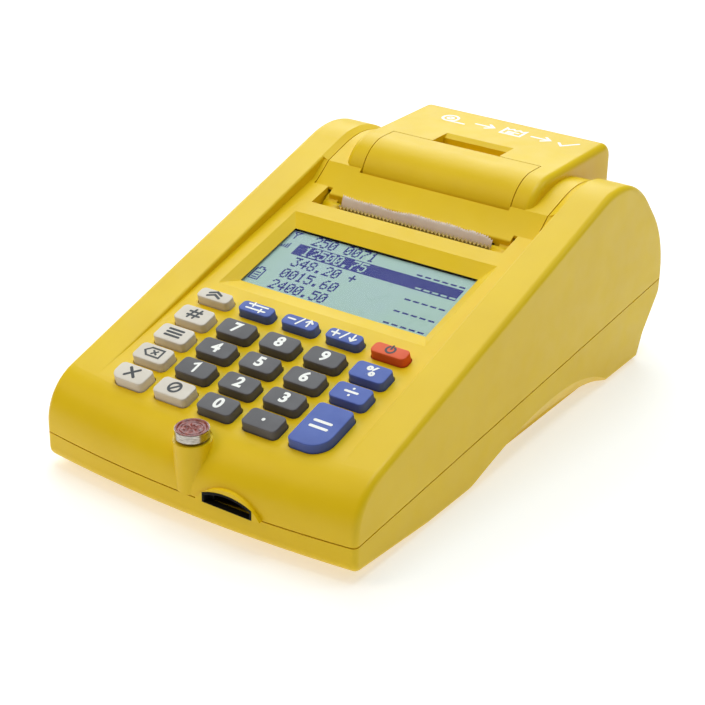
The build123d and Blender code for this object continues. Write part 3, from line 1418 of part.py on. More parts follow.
# ---------------------------------------------------------------- seal
def seal_cup():
    """A spun cup: a wide band above, a narrower foot that stands in the boss."""
    cup = Pos(0, 0, -CUP_BAND / 2) * Cylinder(CUP_RADIUS, CUP_BAND)
    cup += Pos(0, 0, -CUP_HEIGHT / 2) * Cylinder(CUP_FOOT_RADIUS, CUP_HEIGHT)
    band_inside = CUP_BAND - CUP_WALL
    foot_inside = CUP_HEIGHT - CUP_FLOOR
    cup -= Pos(0, 0, -band_inside / 2) * Cylinder(CUP_RADIUS - CUP_WALL, band_inside)
    cup -= Pos(0, 0, -foot_inside / 2) * Cylinder(CUP_FOOT_RADIUS - CUP_WALL, foot_inside)
    cup -= Cylinder(SCREW_RADIUS + 0.15, 4 * CUP_HEIGHT)
    return seal_axis() * cup


def seal_screw():
    floor = -CUP_HEIGHT + CUP_FLOOR
    head = Pos(0, 0, floor + FIXED_FIT + SEAL_HEAD_HEIGHT / 2) * Cylinder(
        SEAL_HEAD_RADIUS, SEAL_HEAD_HEIGHT
    )
    shank = Pos(0, 0, floor - SEAL_SCREW_LENGTH / 2 + 0.1) * Cylinder(SCREW_RADIUS, SEAL_SCREW_LENGTH)
    return seal_axis() * (head + shank)


def seal_wax():
    """The wax fills the cup over the screw's head, to a little below the rim."""
    floor = -CUP_HEIGHT + CUP_FLOOR + FIXED_FIT
    step = -CUP_BAND + CUP_WALL + FIXED_FIT
    wax = Pos(0, 0, (step - WAX_TOP) / 2) * Cylinder(CUP_RADIUS - CUP_WALL - FIXED_FIT, -WAX_TOP - step)
    wax += Pos(0, 0, (floor - WAX_TOP) / 2) * Cylinder(
        CUP_FOOT_RADIUS - CUP_WALL - FIXED_FIT, -WAX_TOP - floor
    )
    head = SEAL_HEAD_HEIGHT + FIXED_FIT
    wax -= Pos(0, 0, floor + head / 2) * Cylinder(SEAL_HEAD_RADIUS + FIXED_FIT, head)
    return seal_axis() * wax


# ---------------------------------------------------------------- fasteners, feet, rear
def case_screws():
    screws = []
    for x, y in SCREW_PLACES:
        seat = parting_height(y) - HEAD_LEDGE - FIXED_FIT
        head = Pos(x, y, seat - SCREW_HEAD_HEIGHT / 2) * Cylinder(SCREW_HEAD_RADIUS, SCREW_HEAD_HEIGHT)
        shank = Pos(x, y, seat + SCREW_LENGTH / 2) * Cylinder(SCREW_RADIUS, SCREW_LENGTH)
        slot = Pos(x, y, seat - SCREW_HEAD_HEIGHT) * (Box(3.4, 0.8, 1.4) + Box(0.8, 3.4, 1.4))
        screws.append(head + shank - slot)
    return screws


def rubber_feet():
    height = FOOT_SEAT - FIXED_FIT
    return [Pos(x, y, height / 2) * Cylinder(FOOT_RADIUS, height) for x, y in FOOT_PLACES]


def hinge_pins():
    pin = rod(
        HINGE_PIN_RADIUS,
        KNUCKLE_INNER + 0.4,
        OPENING_HALF_WIDTH + 2 * WALL - 0.1,
        HINGE_Y,
        HINGE_Z,
    )
    return [pin, mirror(pin, Plane.YZ)]


def customer_display_window(outer, inner):
    hole = block(
        (-DISPLAY_HALF_WIDTH + FIXED_FIT, DISPLAY_HALF_WIDTH - FIXED_FIT),
        (REAR_Y - 3 * WALL, REAR_Y + 1),
        (DISPLAY_LOW + FIXED_FIT, DISPLAY_HIGH - FIXED_FIT),
    )
    return (outer - inner) & hole


def customer_display_module():
    top = SHELF_TOP - SHELF_THICKNESS - FIXED_FIT
    rear = REAR_Y - WALL - 2.6
    return block(
        (-DISPLAY_HALF_WIDTH, DISPLAY_HALF_WIDTH),
        (rear - DISPLAY_DEPTH, rear),
        (DISPLAY_LOW - 1, top),
    )


# ---------------------------------------------------------------- build
def build():
    """Every node of the assembly, by name."""
    outer = outer_block()
    inner = outer_block(WALL)
    nodes = {
        "upper_case": upper_case(outer, inner, panel_pocket()),
        "lower_case": lower_case(outer, inner),
        "printer_cover": printer_cover(),
        "release_lever": release_lever(),
        "lever_pivot_pins": lever_pivot_pins(),
        "lever_springs": lever_springs(),
        "platen_bushes": platen_bushes(),
        "platen_shaft": platen_shaft(),
        "platen_roller": platen_roller(),
        "printer_frame": printer_frame(),
        "print_head": print_head(),
        "tear_bar": tear_bar(),
        "paper_tail": paper_tail(),
        "paper_roll": paper_roll(),
        "roll_core": roll_core(),
        "paper_bucket": paper_bucket(),
        "keypad_mat": keypad_mat(),
        "keypad_board": keypad_board(),
        "lcd_window": lcd_window(),
        "lcd_module": lcd_module(),
        "main_board": main_board(),
        "fiscal_memory": fiscal_memory(),
        "battery_pack": battery_pack(),
        "port_connector": port_connector(),
        "seal_cup": seal_cup(),
        "seal_screw": seal_screw(),
        "seal_wax": seal_wax(),
        "case_screws": case_screws(),
        "rubber_feet": rubber_feet(),
        "hinge_pins": hinge_pins(),
        "customer_display_window": customer_display_window(outer, inner),
        "customer_display_module": customer_display_module(),
    }
    nodes["platen_gear"], nodes["idler_gear"], nodes["motor_pinion"] = gears()
    motor = rod(MOTOR_RADIUS, MOTOR_END - MOTOR_LENGTH, MOTOR_END, PINION_Y, PINION_Z)
    motor -= rod(
        MOTOR_SHAFT_RADIUS + SHAFT_CLEARANCE,
        MOTOR_END - SHAFT_IN_MOTOR - 0.3,
        MOTOR_END + 1,
        PINION_Y,
        PINION_Z,
    )
    nodes["stepper_motor"] = motor
    for name, x, s, *shape in key_layout():
        nodes[name] = PANEL * Pos(x, s, 0) * key_cap(*shape)
    return nodes


def main():
    os.makedirs("parts", exist_ok=True)
    for name, shape in build().items():
        solids = shape if isinstance(shape, list) else list(shape.solids())
        if len(solids) == 1:
            node = solids[0]
        else:
            node = Compound(children=[s for item in solids for s in item.solids()])
        node.label = name
        export_step(node, f"parts/{name}.step")


if __name__ == "__main__":
    main()
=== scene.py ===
import math

import bmesh
import bpy
import numpy as np
from mathutils import Matrix, Vector


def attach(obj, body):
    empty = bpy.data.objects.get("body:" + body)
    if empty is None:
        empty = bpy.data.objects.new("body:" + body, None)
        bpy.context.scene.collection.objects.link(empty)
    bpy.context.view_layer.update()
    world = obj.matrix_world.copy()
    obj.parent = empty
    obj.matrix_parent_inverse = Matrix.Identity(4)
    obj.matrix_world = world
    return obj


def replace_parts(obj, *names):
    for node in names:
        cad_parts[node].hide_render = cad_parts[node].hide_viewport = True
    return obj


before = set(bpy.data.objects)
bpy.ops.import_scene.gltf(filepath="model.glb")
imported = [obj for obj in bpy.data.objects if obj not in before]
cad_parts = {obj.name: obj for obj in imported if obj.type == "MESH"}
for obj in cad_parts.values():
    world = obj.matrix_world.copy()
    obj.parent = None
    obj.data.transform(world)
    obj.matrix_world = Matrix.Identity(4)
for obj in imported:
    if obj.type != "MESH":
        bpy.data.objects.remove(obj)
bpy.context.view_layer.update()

MM = 0.001
scene = bpy.context.scene

# The register in millimetres: X to the right, Y to the rear, Z up from the table.
FRONT_Y = -92.902                # the case's front, at its middle
PARTING = 11.2                   # height of the line between the two case halves
KEYS_AT = 36.1                   # middle of the keys, behind the case's front
PANEL_HEIGHT = 35.3              # height of the key panel there
PANEL_SLOPE = math.radians(15.1)
POD_TOP = 71.3


# ------------------------------------------------------------------ camera and studio

CAMERA_PLACE = (0.276107, -0.416057, 0.265867)
CAMERA_RIGHT = (0.822896, 0.568008, 0.014431)
CAMERA_UP = (-0.263195, 0.358546, 0.895641)
CAMERA_AHEAD = (-0.503557, 0.740818, -0.444543)
CAMERA_LENS = 89.36
SENSOR_WIDTH = 36.0

FLOOR_RADIUS = 6.0
FLOOR_SIDES = 96
FLOOR_HEIGHT = -0.00005          # just below the rubber feet
FLOOR_GLOW = 0.46
WORLD_STRENGTH = 0.16

LIGHTS_AIM = (0.0, 0.0, 0.03)
# name, place and width in metres, power in watts, colour
SOFTBOXES = (
    ("top_softbox", (0.00, 0.10, 1.30), 0.8, 8.6, "#eefbff"),
    ("rear_softbox", (-0.68, 0.78, 0.81), 1.1, 10.0, "#eefbff"),
    ("left_softbox", (-0.62, -0.55, 0.85), 0.6, 3.2, "#ffe3ba"),
    ("edge_softbox", (0.75, 0.66, 0.83), 0.3, 1.4, "#ffffff"),
)


def make_camera():
    """The camera stands at its place with its three axes as the columns of its matrix."""
    data = bpy.data.cameras.new("camera")
    data.lens = CAMERA_LENS
    data.sensor_width = SENSOR_WIDTH
    data.clip_start = 0.01
    data.clip_end = 20.0
    camera = bpy.data.objects.new("camera", data)
    axes = (CAMERA_RIGHT, CAMERA_UP, [-c for c in CAMERA_AHEAD])
    turn = Matrix(axes).transposed().to_4x4()
    camera.matrix_world = Matrix.Translation(CAMERA_PLACE) @ turn
    scene.collection.objects.link(camera)
    scene.camera = camera


def srgb(code):
    """The linear colour of an sRGB hex value: c / 12.92 to 0.04045, else ((c + 0.055) / 1.055) ^ 2.4."""
    parts = [int(code[i:i + 2], 16) / 255 for i in (1, 3, 5)]
    return tuple(c / 12.92 if c <= 0.04045 else ((c + 0.055) / 1.055) ** 2.4 for c in parts) + (1.0,)


def make_floor():
    """A pale round floor: points on a circle, filled."""
    angle = np.linspace(0, 2 * math.pi, FLOOR_SIDES, endpoint=False)
    height = np.full(FLOOR_SIDES, FLOOR_HEIGHT)
    points = np.stack([FLOOR_RADIUS * np.cos(angle), FLOOR_RADIUS * np.sin(angle), height], 1)
    mesh = bpy.data.meshes.new("floor")
    mesh.from_pydata(points.tolist(), [], [list(range(FLOOR_SIDES))])
    floor = bpy.data.objects.new("floor", mesh)
    scene.collection.objects.link(floor)
    material = bpy.data.materials.new("floor_paper")
    material.use_nodes = True
    shader = material.node_tree.nodes["Principled BSDF"]
    shader.inputs["Base Color"].default_value = srgb("#dcdcdc")
    shader.inputs["Emission Color"].default_value = srgb("#ffffff")
    shader.inputs["Emission Strength"].default_value = FLOOR_GLOW
    shader.inputs["Roughness"].default_value = 0.9
    shader.inputs["Specular IOR Level"].default_value = 0.1
    mesh.materials.append(material)


def make_studio():
    """The floor, a dim white world, and square softboxes turned to face the register."""
    scene.view_settings.view_transform = "Standard"
    make_floor()
    world = bpy.data.worlds.new("studio")
    world.use_nodes = True
    world.node_tree.nodes["Background"].inputs["Color"].default_value = srgb("#ffffff")
    world.node_tree.nodes["Background"].inputs["Strength"].default_value = WORLD_STRENGTH
    scene.world = world
    for name, place, width, power, colour in SOFTBOXES:
        data = bpy.data.lights.new(name, "AREA")
        data.shape = "SQUARE"
        data.size = width
        data.energy = power
        data.color = srgb(colour)[:3]
        light = bpy.data.objects.new(name, data)
        light.location = place
        light.rotation_euler = (Vector(LIGHTS_AIM) - Vector(place)).to_track_quat("-Z", "Y").to_euler()
        scene.collection.objects.link(light)


# -------------------------------------------------------------------------- materials

# the shares of a noise between which a colour or a gloss goes from one end to the other
TONE_ENDS = (0.35, 0.65)
GLOSS_ENDS = (0.3, 0.7)
MOULDED_MARKS = 6.0              # millimetres between handling marks
BRUSHED_MARKS = 5.0
SCRATCH_DEPTH = 0.004


def add(tree, kind, settings=None, **links):
    """One node of a kind: settings go to its properties or sockets, links feed its inputs."""
    node = tree.nodes.new(kind)
    for name, value in (settings or {}).items():
        if hasattr(node, name):
            setattr(node, name, value)
        else:
            node.inputs[name].default_value = value
    for name, source in links.items():
        tree.links.new(source, node.inputs[name])
    return node


def start(name, roughness, metallic=0.0, ior=None, **more):
    """A new material with its constants on the shader's own sockets, and its object coordinates."""
    material = bpy.data.materials.new(name)
    material.use_nodes = True
    tree = material.node_tree
    shader = tree.nodes["Principled BSDF"]
    shader.inputs["Roughness"].default_value = roughness
    shader.inputs["Metallic"].default_value = metallic
    if ior:
        shader.inputs["IOR"].default_value = ior
    for key, value in more.items():
        shader.inputs[key.replace("_", " ")].default_value = value
    place = add(tree, "ShaderNodeTexCoord").outputs["Object"]
    return material, tree, shader, place


def per_mm(size):
    """The scale of a noise whose cells are that many millimetres wide, on coordinates in metres."""
    return 1000.0 / size


def two_tone(tree, shader, place, dark, light, cell):
    """Colour: a noise of that cell in millimetres wanders between a darker and a lighter shade."""
    noise = add(tree, "ShaderNodeTexNoise", {"Scale": per_mm(cell), "Detail": 3.0}, Vector=place)
    ramp = add(tree, "ShaderNodeValToRGB", Fac=noise.outputs["Fac"])
    for element, spot, code in zip(ramp.color_ramp.elements, TONE_ENDS, (dark, light)):
        element.position = spot
        element.color = srgb(code)
    tree.links.new(ramp.outputs["Color"], shader.inputs["Base Color"])


def uneven_gloss(tree, shader, place, low, high, cell):
    """Roughness: a noise of that cell in millimetres moves it between two values, as handling does."""
    noise = add(tree, "ShaderNodeTexNoise", {"Scale": per_mm(cell), "Detail": 4.0}, Vector=place)
    ends = {"From Min": GLOSS_ENDS[0], "From Max": GLOSS_ENDS[1], "To Min": low, "To Max": high}
    spread = add(tree, "ShaderNodeMapRange", ends, Value=noise.outputs["Fac"])
    tree.links.new(spread.outputs["Result"], shader.inputs["Roughness"])


def grain(tree, shader, place, cell, depth):
    """Relief: a noise of that cell, both in millimetres, raises the surface by about that depth.

    A real grain or scratch of less than 0.25 mm is too fine to show, so it is drawn at 0.25 mm or more.
    """
    noise = add(tree, "ShaderNodeTexNoise", {"Scale": per_mm(cell), "Detail": 2.0}, Vector=place)
    bump = add(tree, "ShaderNodeBump", {"Strength": 1.0, "Distance": depth * MM}, Height=noise.outputs["Fac"])
    tree.links.new(bump.outputs["Normal"], shader.inputs["Normal"])


def moulded(name, dark, light, roughness, cell=0.5, depth=0.006, ior=1.54, wander=22.0, **more):
    """A moulded or cast surface: grain of a cell and depth, slow drift of colour, uneven gloss."""
    material, tree, shader, place = start(name, roughness, ior=ior, **more)
    two_tone(tree, shader, place, dark, light, wander)
    uneven_gloss(tree, shader, place, roughness - 0.05, roughness + 0.06, MOULDED_MARKS)
    grain(tree, shader, place, cell, depth)
    return material


def brushed(name, dark, light, roughness, along=(1.0, 0.04, 0.04), cell=0.25):
    """A worked metal: scratches drawn out along one axis, both in its colour and its relief."""
    material, tree, shader, place = start(name, roughness, metallic=1.0)
    drawn = add(tree, "ShaderNodeMapping", {"Scale": along}, Vector=place).outputs["Vector"]
    two_tone(tree, shader, drawn, dark, light, cell)
    uneven_gloss(tree, shader, place, roughness - 0.04, roughness + 0.08, BRUSHED_MARKS)
    grain(tree, shader, drawn, cell, SCRATCH_DEPTH)
    return material


# The finish of each of the record's material slots.
FINISH = {
    # ABS, injection moulded in a spark-eroded tool: satin and saturated. Its real grain of
    # 0.1 mm is too fine to show and is drawn at 0.5 mm.
    "case_yellow": moulded("moulded_abs_yellow", "#ebc506", "#efca0a", 0.38, Specular_IOR_Level=0.28),
    # Silicone rubber, compression moulded and matt: soft broad highlights, fine 0.3 mm grain.
    "key_grey": moulded("moulded_silicone_grey", "#5c5a5e", "#646266", 0.55, 0.3, 0.010, 1.43, 9.0),
    "key_beige": moulded("moulded_silicone_beige", "#d9d0c4", "#e2dacf", 0.55, 0.3, 0.010, 1.43, 9.0),
    "key_blue": moulded("moulded_silicone_blue", "#4a60b0", "#5369ba", 0.52, 0.3, 0.010, 1.43, 9.0),
    "key_orange": moulded("moulded_silicone_orange", "#e2541c", "#ea5f24", 0.52, 0.3, 0.010, 1.43, 9.0),
    # Conductive rubber mat under the keys: dark and dull.
    "key_rubber": moulded("moulded_mat_rubber", "#2c2c2d", "#363637", 0.65, 0.3, 0.012, 1.5),
    # Polished acrylic over the displays: clear, with hard reflections.
    "clear_plastic": start("polished_acrylic", 0.04, ior=1.49, Alpha=0.06, Base_Color=srgb("#1c2422"))[0],
    # The black frame printed round an LCD's glass: dull, almost without grain.
    "lcd": moulded("lcd_black_frame", "#0b0b0c", "#121214", 0.5, 0.4, 0.004),
    # Glass-epoxy laminate under green solder resist: glossy, with the weave's 0.6 mm cells.
    "circuit_board": moulded("solder_resist_on_glass_epoxy", "#1b5230", "#246239", 0.30, 0.6, 0.006, 1.52),
    # Epoxy casting over the sealed memory: smooth black with a faint orange peel.
    "epoxy_black": moulded("cast_epoxy", "#131313", "#1c1c1c", 0.22, 2.0, 0.02, 1.55),
    # PVC shrink sleeve round the cells: glossy, wrinkled at 3 mm.
    "battery_sleeve": moulded("pvc_shrink_sleeve", "#20395f", "#2a4672", 0.25, 3.0, 0.05, 1.53),
    # Sheet steel, pressed and zinc plated: grey with 3 mm spangle.
    "frame_steel": brushed("zinc_plated_sheet", "#8f9193", "#b3b5b6", 0.36, (1.0, 1.0, 1.0), 3.0),
    # Extruded aluminium of the heat sink: satin, with scratches along the extrusion.
    "aluminium": brushed("extruded_aluminium", "#a9abad", "#c6c8ca", 0.32),
    # Bright drawn steel of pins, screws and shafts: shiny, with faint lines along them.
    "bright_steel": brushed("bright_drawn_steel", "#b9b9b8", "#d6d6d4", 0.22),
    # ABS again, black and unpolished: the bucket and other hidden mouldings.
    "inner_plastic": moulded("moulded_abs_black", "#161616", "#1e1e1e", 0.45),
    # Glass-filled nylon: black and dull, with 0.4 mm flow marks.
    "connector_black": moulded("glass_filled_nylon", "#0d0d0e", "#161617", 0.42, 0.4, 0.008, 1.53),
    # Brass cup, turned and nickel plated: the brightest of the metals, warm and finely marked.
    "cup_metal": brushed("nickel_plated_brass", "#968f86", "#c6c0b7", 0.18, (0.2, 0.2, 1.0), 0.3),
    # Sealing wax, pressed warm: glossy and mottled, with 0.7 mm dimples.
    "seal_wax": moulded("pressed_sealing_wax", "#6f2c24", "#9c4c40", 0.24, 0.7, 0.02, 1.46, 1.6),
    # Moulded rubber feet: black and dull, rough from wear.
    "foot_rubber": moulded("moulded_foot_rubber", "#1d1d1e", "#272728", 0.75, 0.5, 0.02, 1.5),
    # Acetal, turned for the bushes and hobbed for the gears: waxy, with 0.4 mm tool marks.
    "bush_plastic": moulded("turned_acetal", "#dedbd2", "#e8e5dd", 0.38, 0.4, 0.004, 1.48),
    # The gears' dark amber is painted shade: it stands in for the orange-brown shade at the slot's right end,
    # where a gear shows.
    "gear_plastic": moulded("hobbed_acetal_painted_shade", "#7c5a14", "#8a6519", 0.40, 0.4, 0.004, 1.48),
    # Ground nitrile rubber on the platen: near black, with the wheel's fine 0.3 mm tooth.
    "platen_rubber": moulded("ground_nitrile_rubber", "#232324", "#2d2d2e", 0.6, 0.3, 0.010, 1.5),
    # Thermal paper, coated and calendered: matt, with 0.3 mm fibre tooth; its pink-beige tint is painted
    # shade, with the yellow light that the case bounces into the slot.
    "paper": moulded("thermal_paper_painted_shade", "#f3e1d8", "#f8eae2", 0.80, 0.3, 0.012, 1.45, 4.0),
    # Spiral-wound grey board of the roll's core: brown and dull, with coarse 0.8 mm fibre.
    "card": moulded("wound_grey_board", "#9a7a54", "#b08e64", 0.9, 0.8, 0.03, 1.45, 5.0),
}

# Pad-printed ink: a thin, slightly glossier film that follows the grain below it.
INK_WHITE = moulded("pad_print_white", "#f2f1ee", "#fbfaf8", 0.45, 0.3, 0.008, 1.5, 3.0)
INK_BLACK = moulded("pad_print_black", "#1a181d", "#222025", 0.45, 0.3, 0.008, 1.5, 3.0)
# LCD cell: ground glass with a green-grey polariser; its segments are indigo.
LCD_MINT = moulded("lcd_polariser_mint", "#b0d2c6", "#b0cdd3", 0.30, 0.3, 0.0008, 1.5, 26.0,
                   Specular_IOR_Level=0.25)
LCD_INK = moulded("lcd_segments_indigo", "#262a88", "#2e3292", 0.35, 0.3, 0.0008, 1.5, 8.0,
                  Specular_IOR_Level=0.15)
# Spring steel strip for the tear bar, stamped and yellow chromated, drawn along: its gold is painted paler
# than the metal, as painted light on a bar that stands in the slot's shade.
LIGHTENED_TEAR_STEEL = brushed("yellow_chromated_steel_painted_light", "#e3cc84", "#efdb98", 0.48, (0.05, 1.0, 1.0))
# Moulded rubber gasket round the socket: black and dull, and near black so that it also lies as painted shade
# in the socket's dark opening.
GASKET_RUBBER_AND_SHADE = moulded("gasket_rubber_and_painted_shade", "#050505", "#09090a", 0.85, 0.4, 0.006, 1.4)

# Each CAD node comes with a material named for its slot, which its finish takes over.
SLOT_OF = {name: node.data.materials[0].name.split(".")[0] for name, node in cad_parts.items()}
for name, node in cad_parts.items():
    node.data.materials.clear()
    node.data.materials.append(FINISH[SLOT_OF[name]])


# ----------------------------------------------------------------------- making pieces

def piece(name, points, faces, body, slot, finish=None, smooth=True):
    """A mesh of points in millimetres that rides on a body, in its slot's finish or its own."""
    mesh = bpy.data.meshes.new(name)
    mesh.from_pydata((points * MM).tolist(), [], faces)
    mesh.update()
    mesh.polygons.foreach_set("use_smooth", np.full(len(mesh.polygons), smooth))
    mesh.materials.append(finish or FINISH[slot])
    made = bpy.data.objects.new(name, mesh)
    scene.collection.objects.link(made)
    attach(made, body)
    return made


def grid_faces(rows, columns, closed=False):
    """Quads between neighbouring rows of a grid; closed joins each row's end to its start."""
    r, c = np.meshgrid(np.arange(rows - 1), np.arange(columns if closed else columns - 1), indexing="ij")
    here, after = r * columns + c, r * columns + (c + 1) % columns
    return np.stack([here, after, after + columns, here + columns], -1).reshape(-1, 4)


def swept(name, rings, body, slot, finish=None, smooth=True):
    """A closed skin through rings of equal count, its first and last ring capped."""
    count = len(rings[0])
    faces = grid_faces(len(rings), count, closed=True).tolist()
    faces.append(list(range(count))[::-1])
    faces.append(list(range((len(rings) - 1) * count, len(rings) * count)))
    return piece(name, np.concatenate(rings), faces, body, slot, finish, smooth)


def outward(made):
    """Turns a closed mesh's faces outwards."""
    work = bmesh.new()
    work.from_mesh(made.data)
    bmesh.ops.recalc_face_normals(work, faces=work.faces)
    work.to_mesh(made.data)
    work.free()
    return made


def at_height(flat, height):
    """Points of a plane, given their third coordinate."""
    return np.column_stack([flat, np.full(len(flat), height)])


def at_x(x, profile):
    """A profile of y and z, put at x."""
    return np.column_stack([np.full(len(profile), x), profile])


def on_panel(points):
    """Panel points (x, s up the slope, n out of it) as case points in millimetres."""
    x, s, n = np.asarray(points, float).T
    y = FRONT_Y + KEYS_AT + s * math.cos(PANEL_SLOPE) - n * math.sin(PANEL_SLOPE)
    z = PANEL_HEIGHT + s * math.sin(PANEL_SLOPE) + n * math.cos(PANEL_SLOPE)
    return np.stack([x, y, z], -1)


# ------------------------------------------------------------------------------- keys

KEY_WIDTH = 12.1
KEY_DEPTH = 7.1
SMALL_KEY_DEPTH = 4.7            # the row below the screen
KEY_HEIGHT = 2.9
KEY_LEAN = math.radians(1.5)
KEY_TOP_ROUND = 0.3
KEY_CORNER = 1.6
LEAST_CORNER = 0.12
KEY_CROWN = 0.06
CROWN_RINGS = (0.92, 0.75, 0.5, 0.25, 0.04)
KEY_NECK = 2.5                   # what stands in the panel's hole
KEY_FLANGE = 0.55                # how far the flange under the panel reaches out
KEY_FLANGE_THICKNESS = 0.8
PITCH_X = 16.05
PITCH_S = 10.0
CORNER_STEPS = 9
TOP_ROUND_STEPS = 6

KEY_ROWS = (
    (2.04, ("key_feed", "key_function", "key_minus", "key_plus", "key_mode")),
    (1.0, ("key_lookup", "key_7", "key_8", "key_9", "key_pay")),
    (0.0, ("key_department", "key_4", "key_5", "key_6", "key_subtotal")),
    (-1.0, ("key_void", "key_1", "key_2", "key_3")),
    (-2.0, ("key_quantity", "key_clear", "key_0", "key_dot")),
)
SMALL_KEYS = KEY_ROWS[0][1]
# x and s of each key's middle; the long key stands beside the last two rows
KEY_PLACES = {node: ((column - 2) * PITCH_X, row * PITCH_S)
              for row, names in KEY_ROWS for column, node in enumerate(names)}
KEY_PLACES["key_total"] = (2 * PITCH_X, -1.5 * PITCH_S)
# keys at the panel's lower corners have one rounder corner: which, from +x +s on, and its radius
ROUNDER_CORNERS = {"key_quantity": (2, 3.5), "key_total": (3, 6.0)}


def key_outline(node):
    """A key's depth and the radii of its four corners."""
    radii = [KEY_CORNER] * 4
    if node in ROUNDER_CORNERS:
        corner, radius = ROUNDER_CORNERS[node]
        radii[corner] = radius
    if node == "key_total":
        return KEY_DEPTH + PITCH_S, radii
    return SMALL_KEY_DEPTH if node in SMALL_KEYS else KEY_DEPTH, radii


def key_profile():
    """The cap's profile: inset from its outline and height, from under the flange to the top.

    A flange, a straight neck, a side that leans in 1.5 degrees, and a quarter circle into the top.
    """
    lean = KEY_HEIGHT * math.tan(KEY_LEAN)
    side_top = KEY_HEIGHT - KEY_TOP_ROUND
    turn = np.linspace(0, math.pi / 2, TOP_ROUND_STEPS)
    edge = np.stack([lean + KEY_TOP_ROUND * (1 - np.cos(turn)), side_top + KEY_TOP_ROUND * np.sin(turn)], -1)
    foot = np.array([
        (-KEY_FLANGE, -KEY_NECK - KEY_FLANGE_THICKNESS),
        (-KEY_FLANGE, -KEY_NECK),
        (0.0, -KEY_NECK),
        (0.0, 0.0),
        (lean * 0.6, side_top * 0.6),
    ])
    return np.concatenate([foot, edge])


def rounded_outline(half_x, half_y, radii):
    """A rectangle's outline with its own radius at each corner, counter-clockwise from +x +y.

    Each corner is a quarter circle: centre + radius * (cos, sin) over 90 degrees.
    """
    turn = np.linspace(0, math.pi / 2, CORNER_STEPS)
    runs = []
    for quarter, ((sx, sy), radius) in enumerate(zip(((1, 1), (-1, 1), (-1, -1), (1, -1)), radii)):
        angle = turn + quarter * math.pi / 2
        centre = np.array([sx * (half_x - radius), sy * (half_y - radius)])
        runs.append(centre + radius * np.stack([np.cos(angle), np.sin(angle)], -1))
    return np.concatenate(runs)


def make_key(node):
    """A moulded key: the profile carried round its outline, closed by a slightly crowned top.

    At an inset e each side moves in by e and each corner's radius shrinks by e. On the top the
    rings shrink towards the middle and rise by crown * (1 - t squared), t from 1 to 0.
    """
    x, s = KEY_PLACES[node]
    depth, radii = key_outline(node)
    rings = []
    for inset, height in key_profile():
        corners = [max(radius - inset, LEAST_CORNER) for radius in radii]
        rings.append(at_height(rounded_outline(KEY_WIDTH / 2 - inset, depth / 2 - inset, corners), height))
    edge = rings[-1][:, :2]
    rings += [at_height(edge * t, KEY_HEIGHT + KEY_CROWN * (1 - t * t)) for t in CROWN_RINGS]
    name = node.removeprefix("key_")
    placed = [on_panel(ring + (x, s, 0.0)) for ring in rings]
    cap = swept("cap_" + name, placed, "button_" + name, SLOT_OF[node])
    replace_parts(cap, node)


# ------------------------------------------------------------------- legends and signs

CAPITAL = 0.73                   # height of the font's digits, in em
LEGEND_WEIGHT = 0.04             # how much bolder they are printed, in em
LEGEND_LIFT = 0.25               # legends sit a little behind the key's middle
LEGEND_GAP = 0.02                # above the key's crowned top
LAYER = 0.003
SHARPEST = 0.35                  # the least cosine of half a bend, which limits its corner
ARC_STEPS = 28
END_STEPS = 9                    # of the half circle at a stroke's end
BLACK_PRINTED = ("key_beige", "key_orange")

SLASH = ((-0.7, -1.5), (0.7, 1.5))
ARROW_UP = (((3.1, -1.3), (3.1, 1.3)), ((2.0, 0.4), (3.1, 1.5), (4.2, 0.4)))
ARROW_DOWN = (((3.1, -1.3), (3.1, 1.3)), ((2.0, -0.4), (3.1, -1.5), (4.2, -0.4)))


def arc(radius, centre=(0, 0), first=0.0, last=360.0):
    """Points along an arc: centre + radius * (cos, sin) between two angles in degrees."""
    angle = np.radians(np.linspace(first, last, ARC_STEPS))
    return np.stack([centre[0] + radius * np.cos(angle), centre[1] + radius * np.sin(angle)], -1)


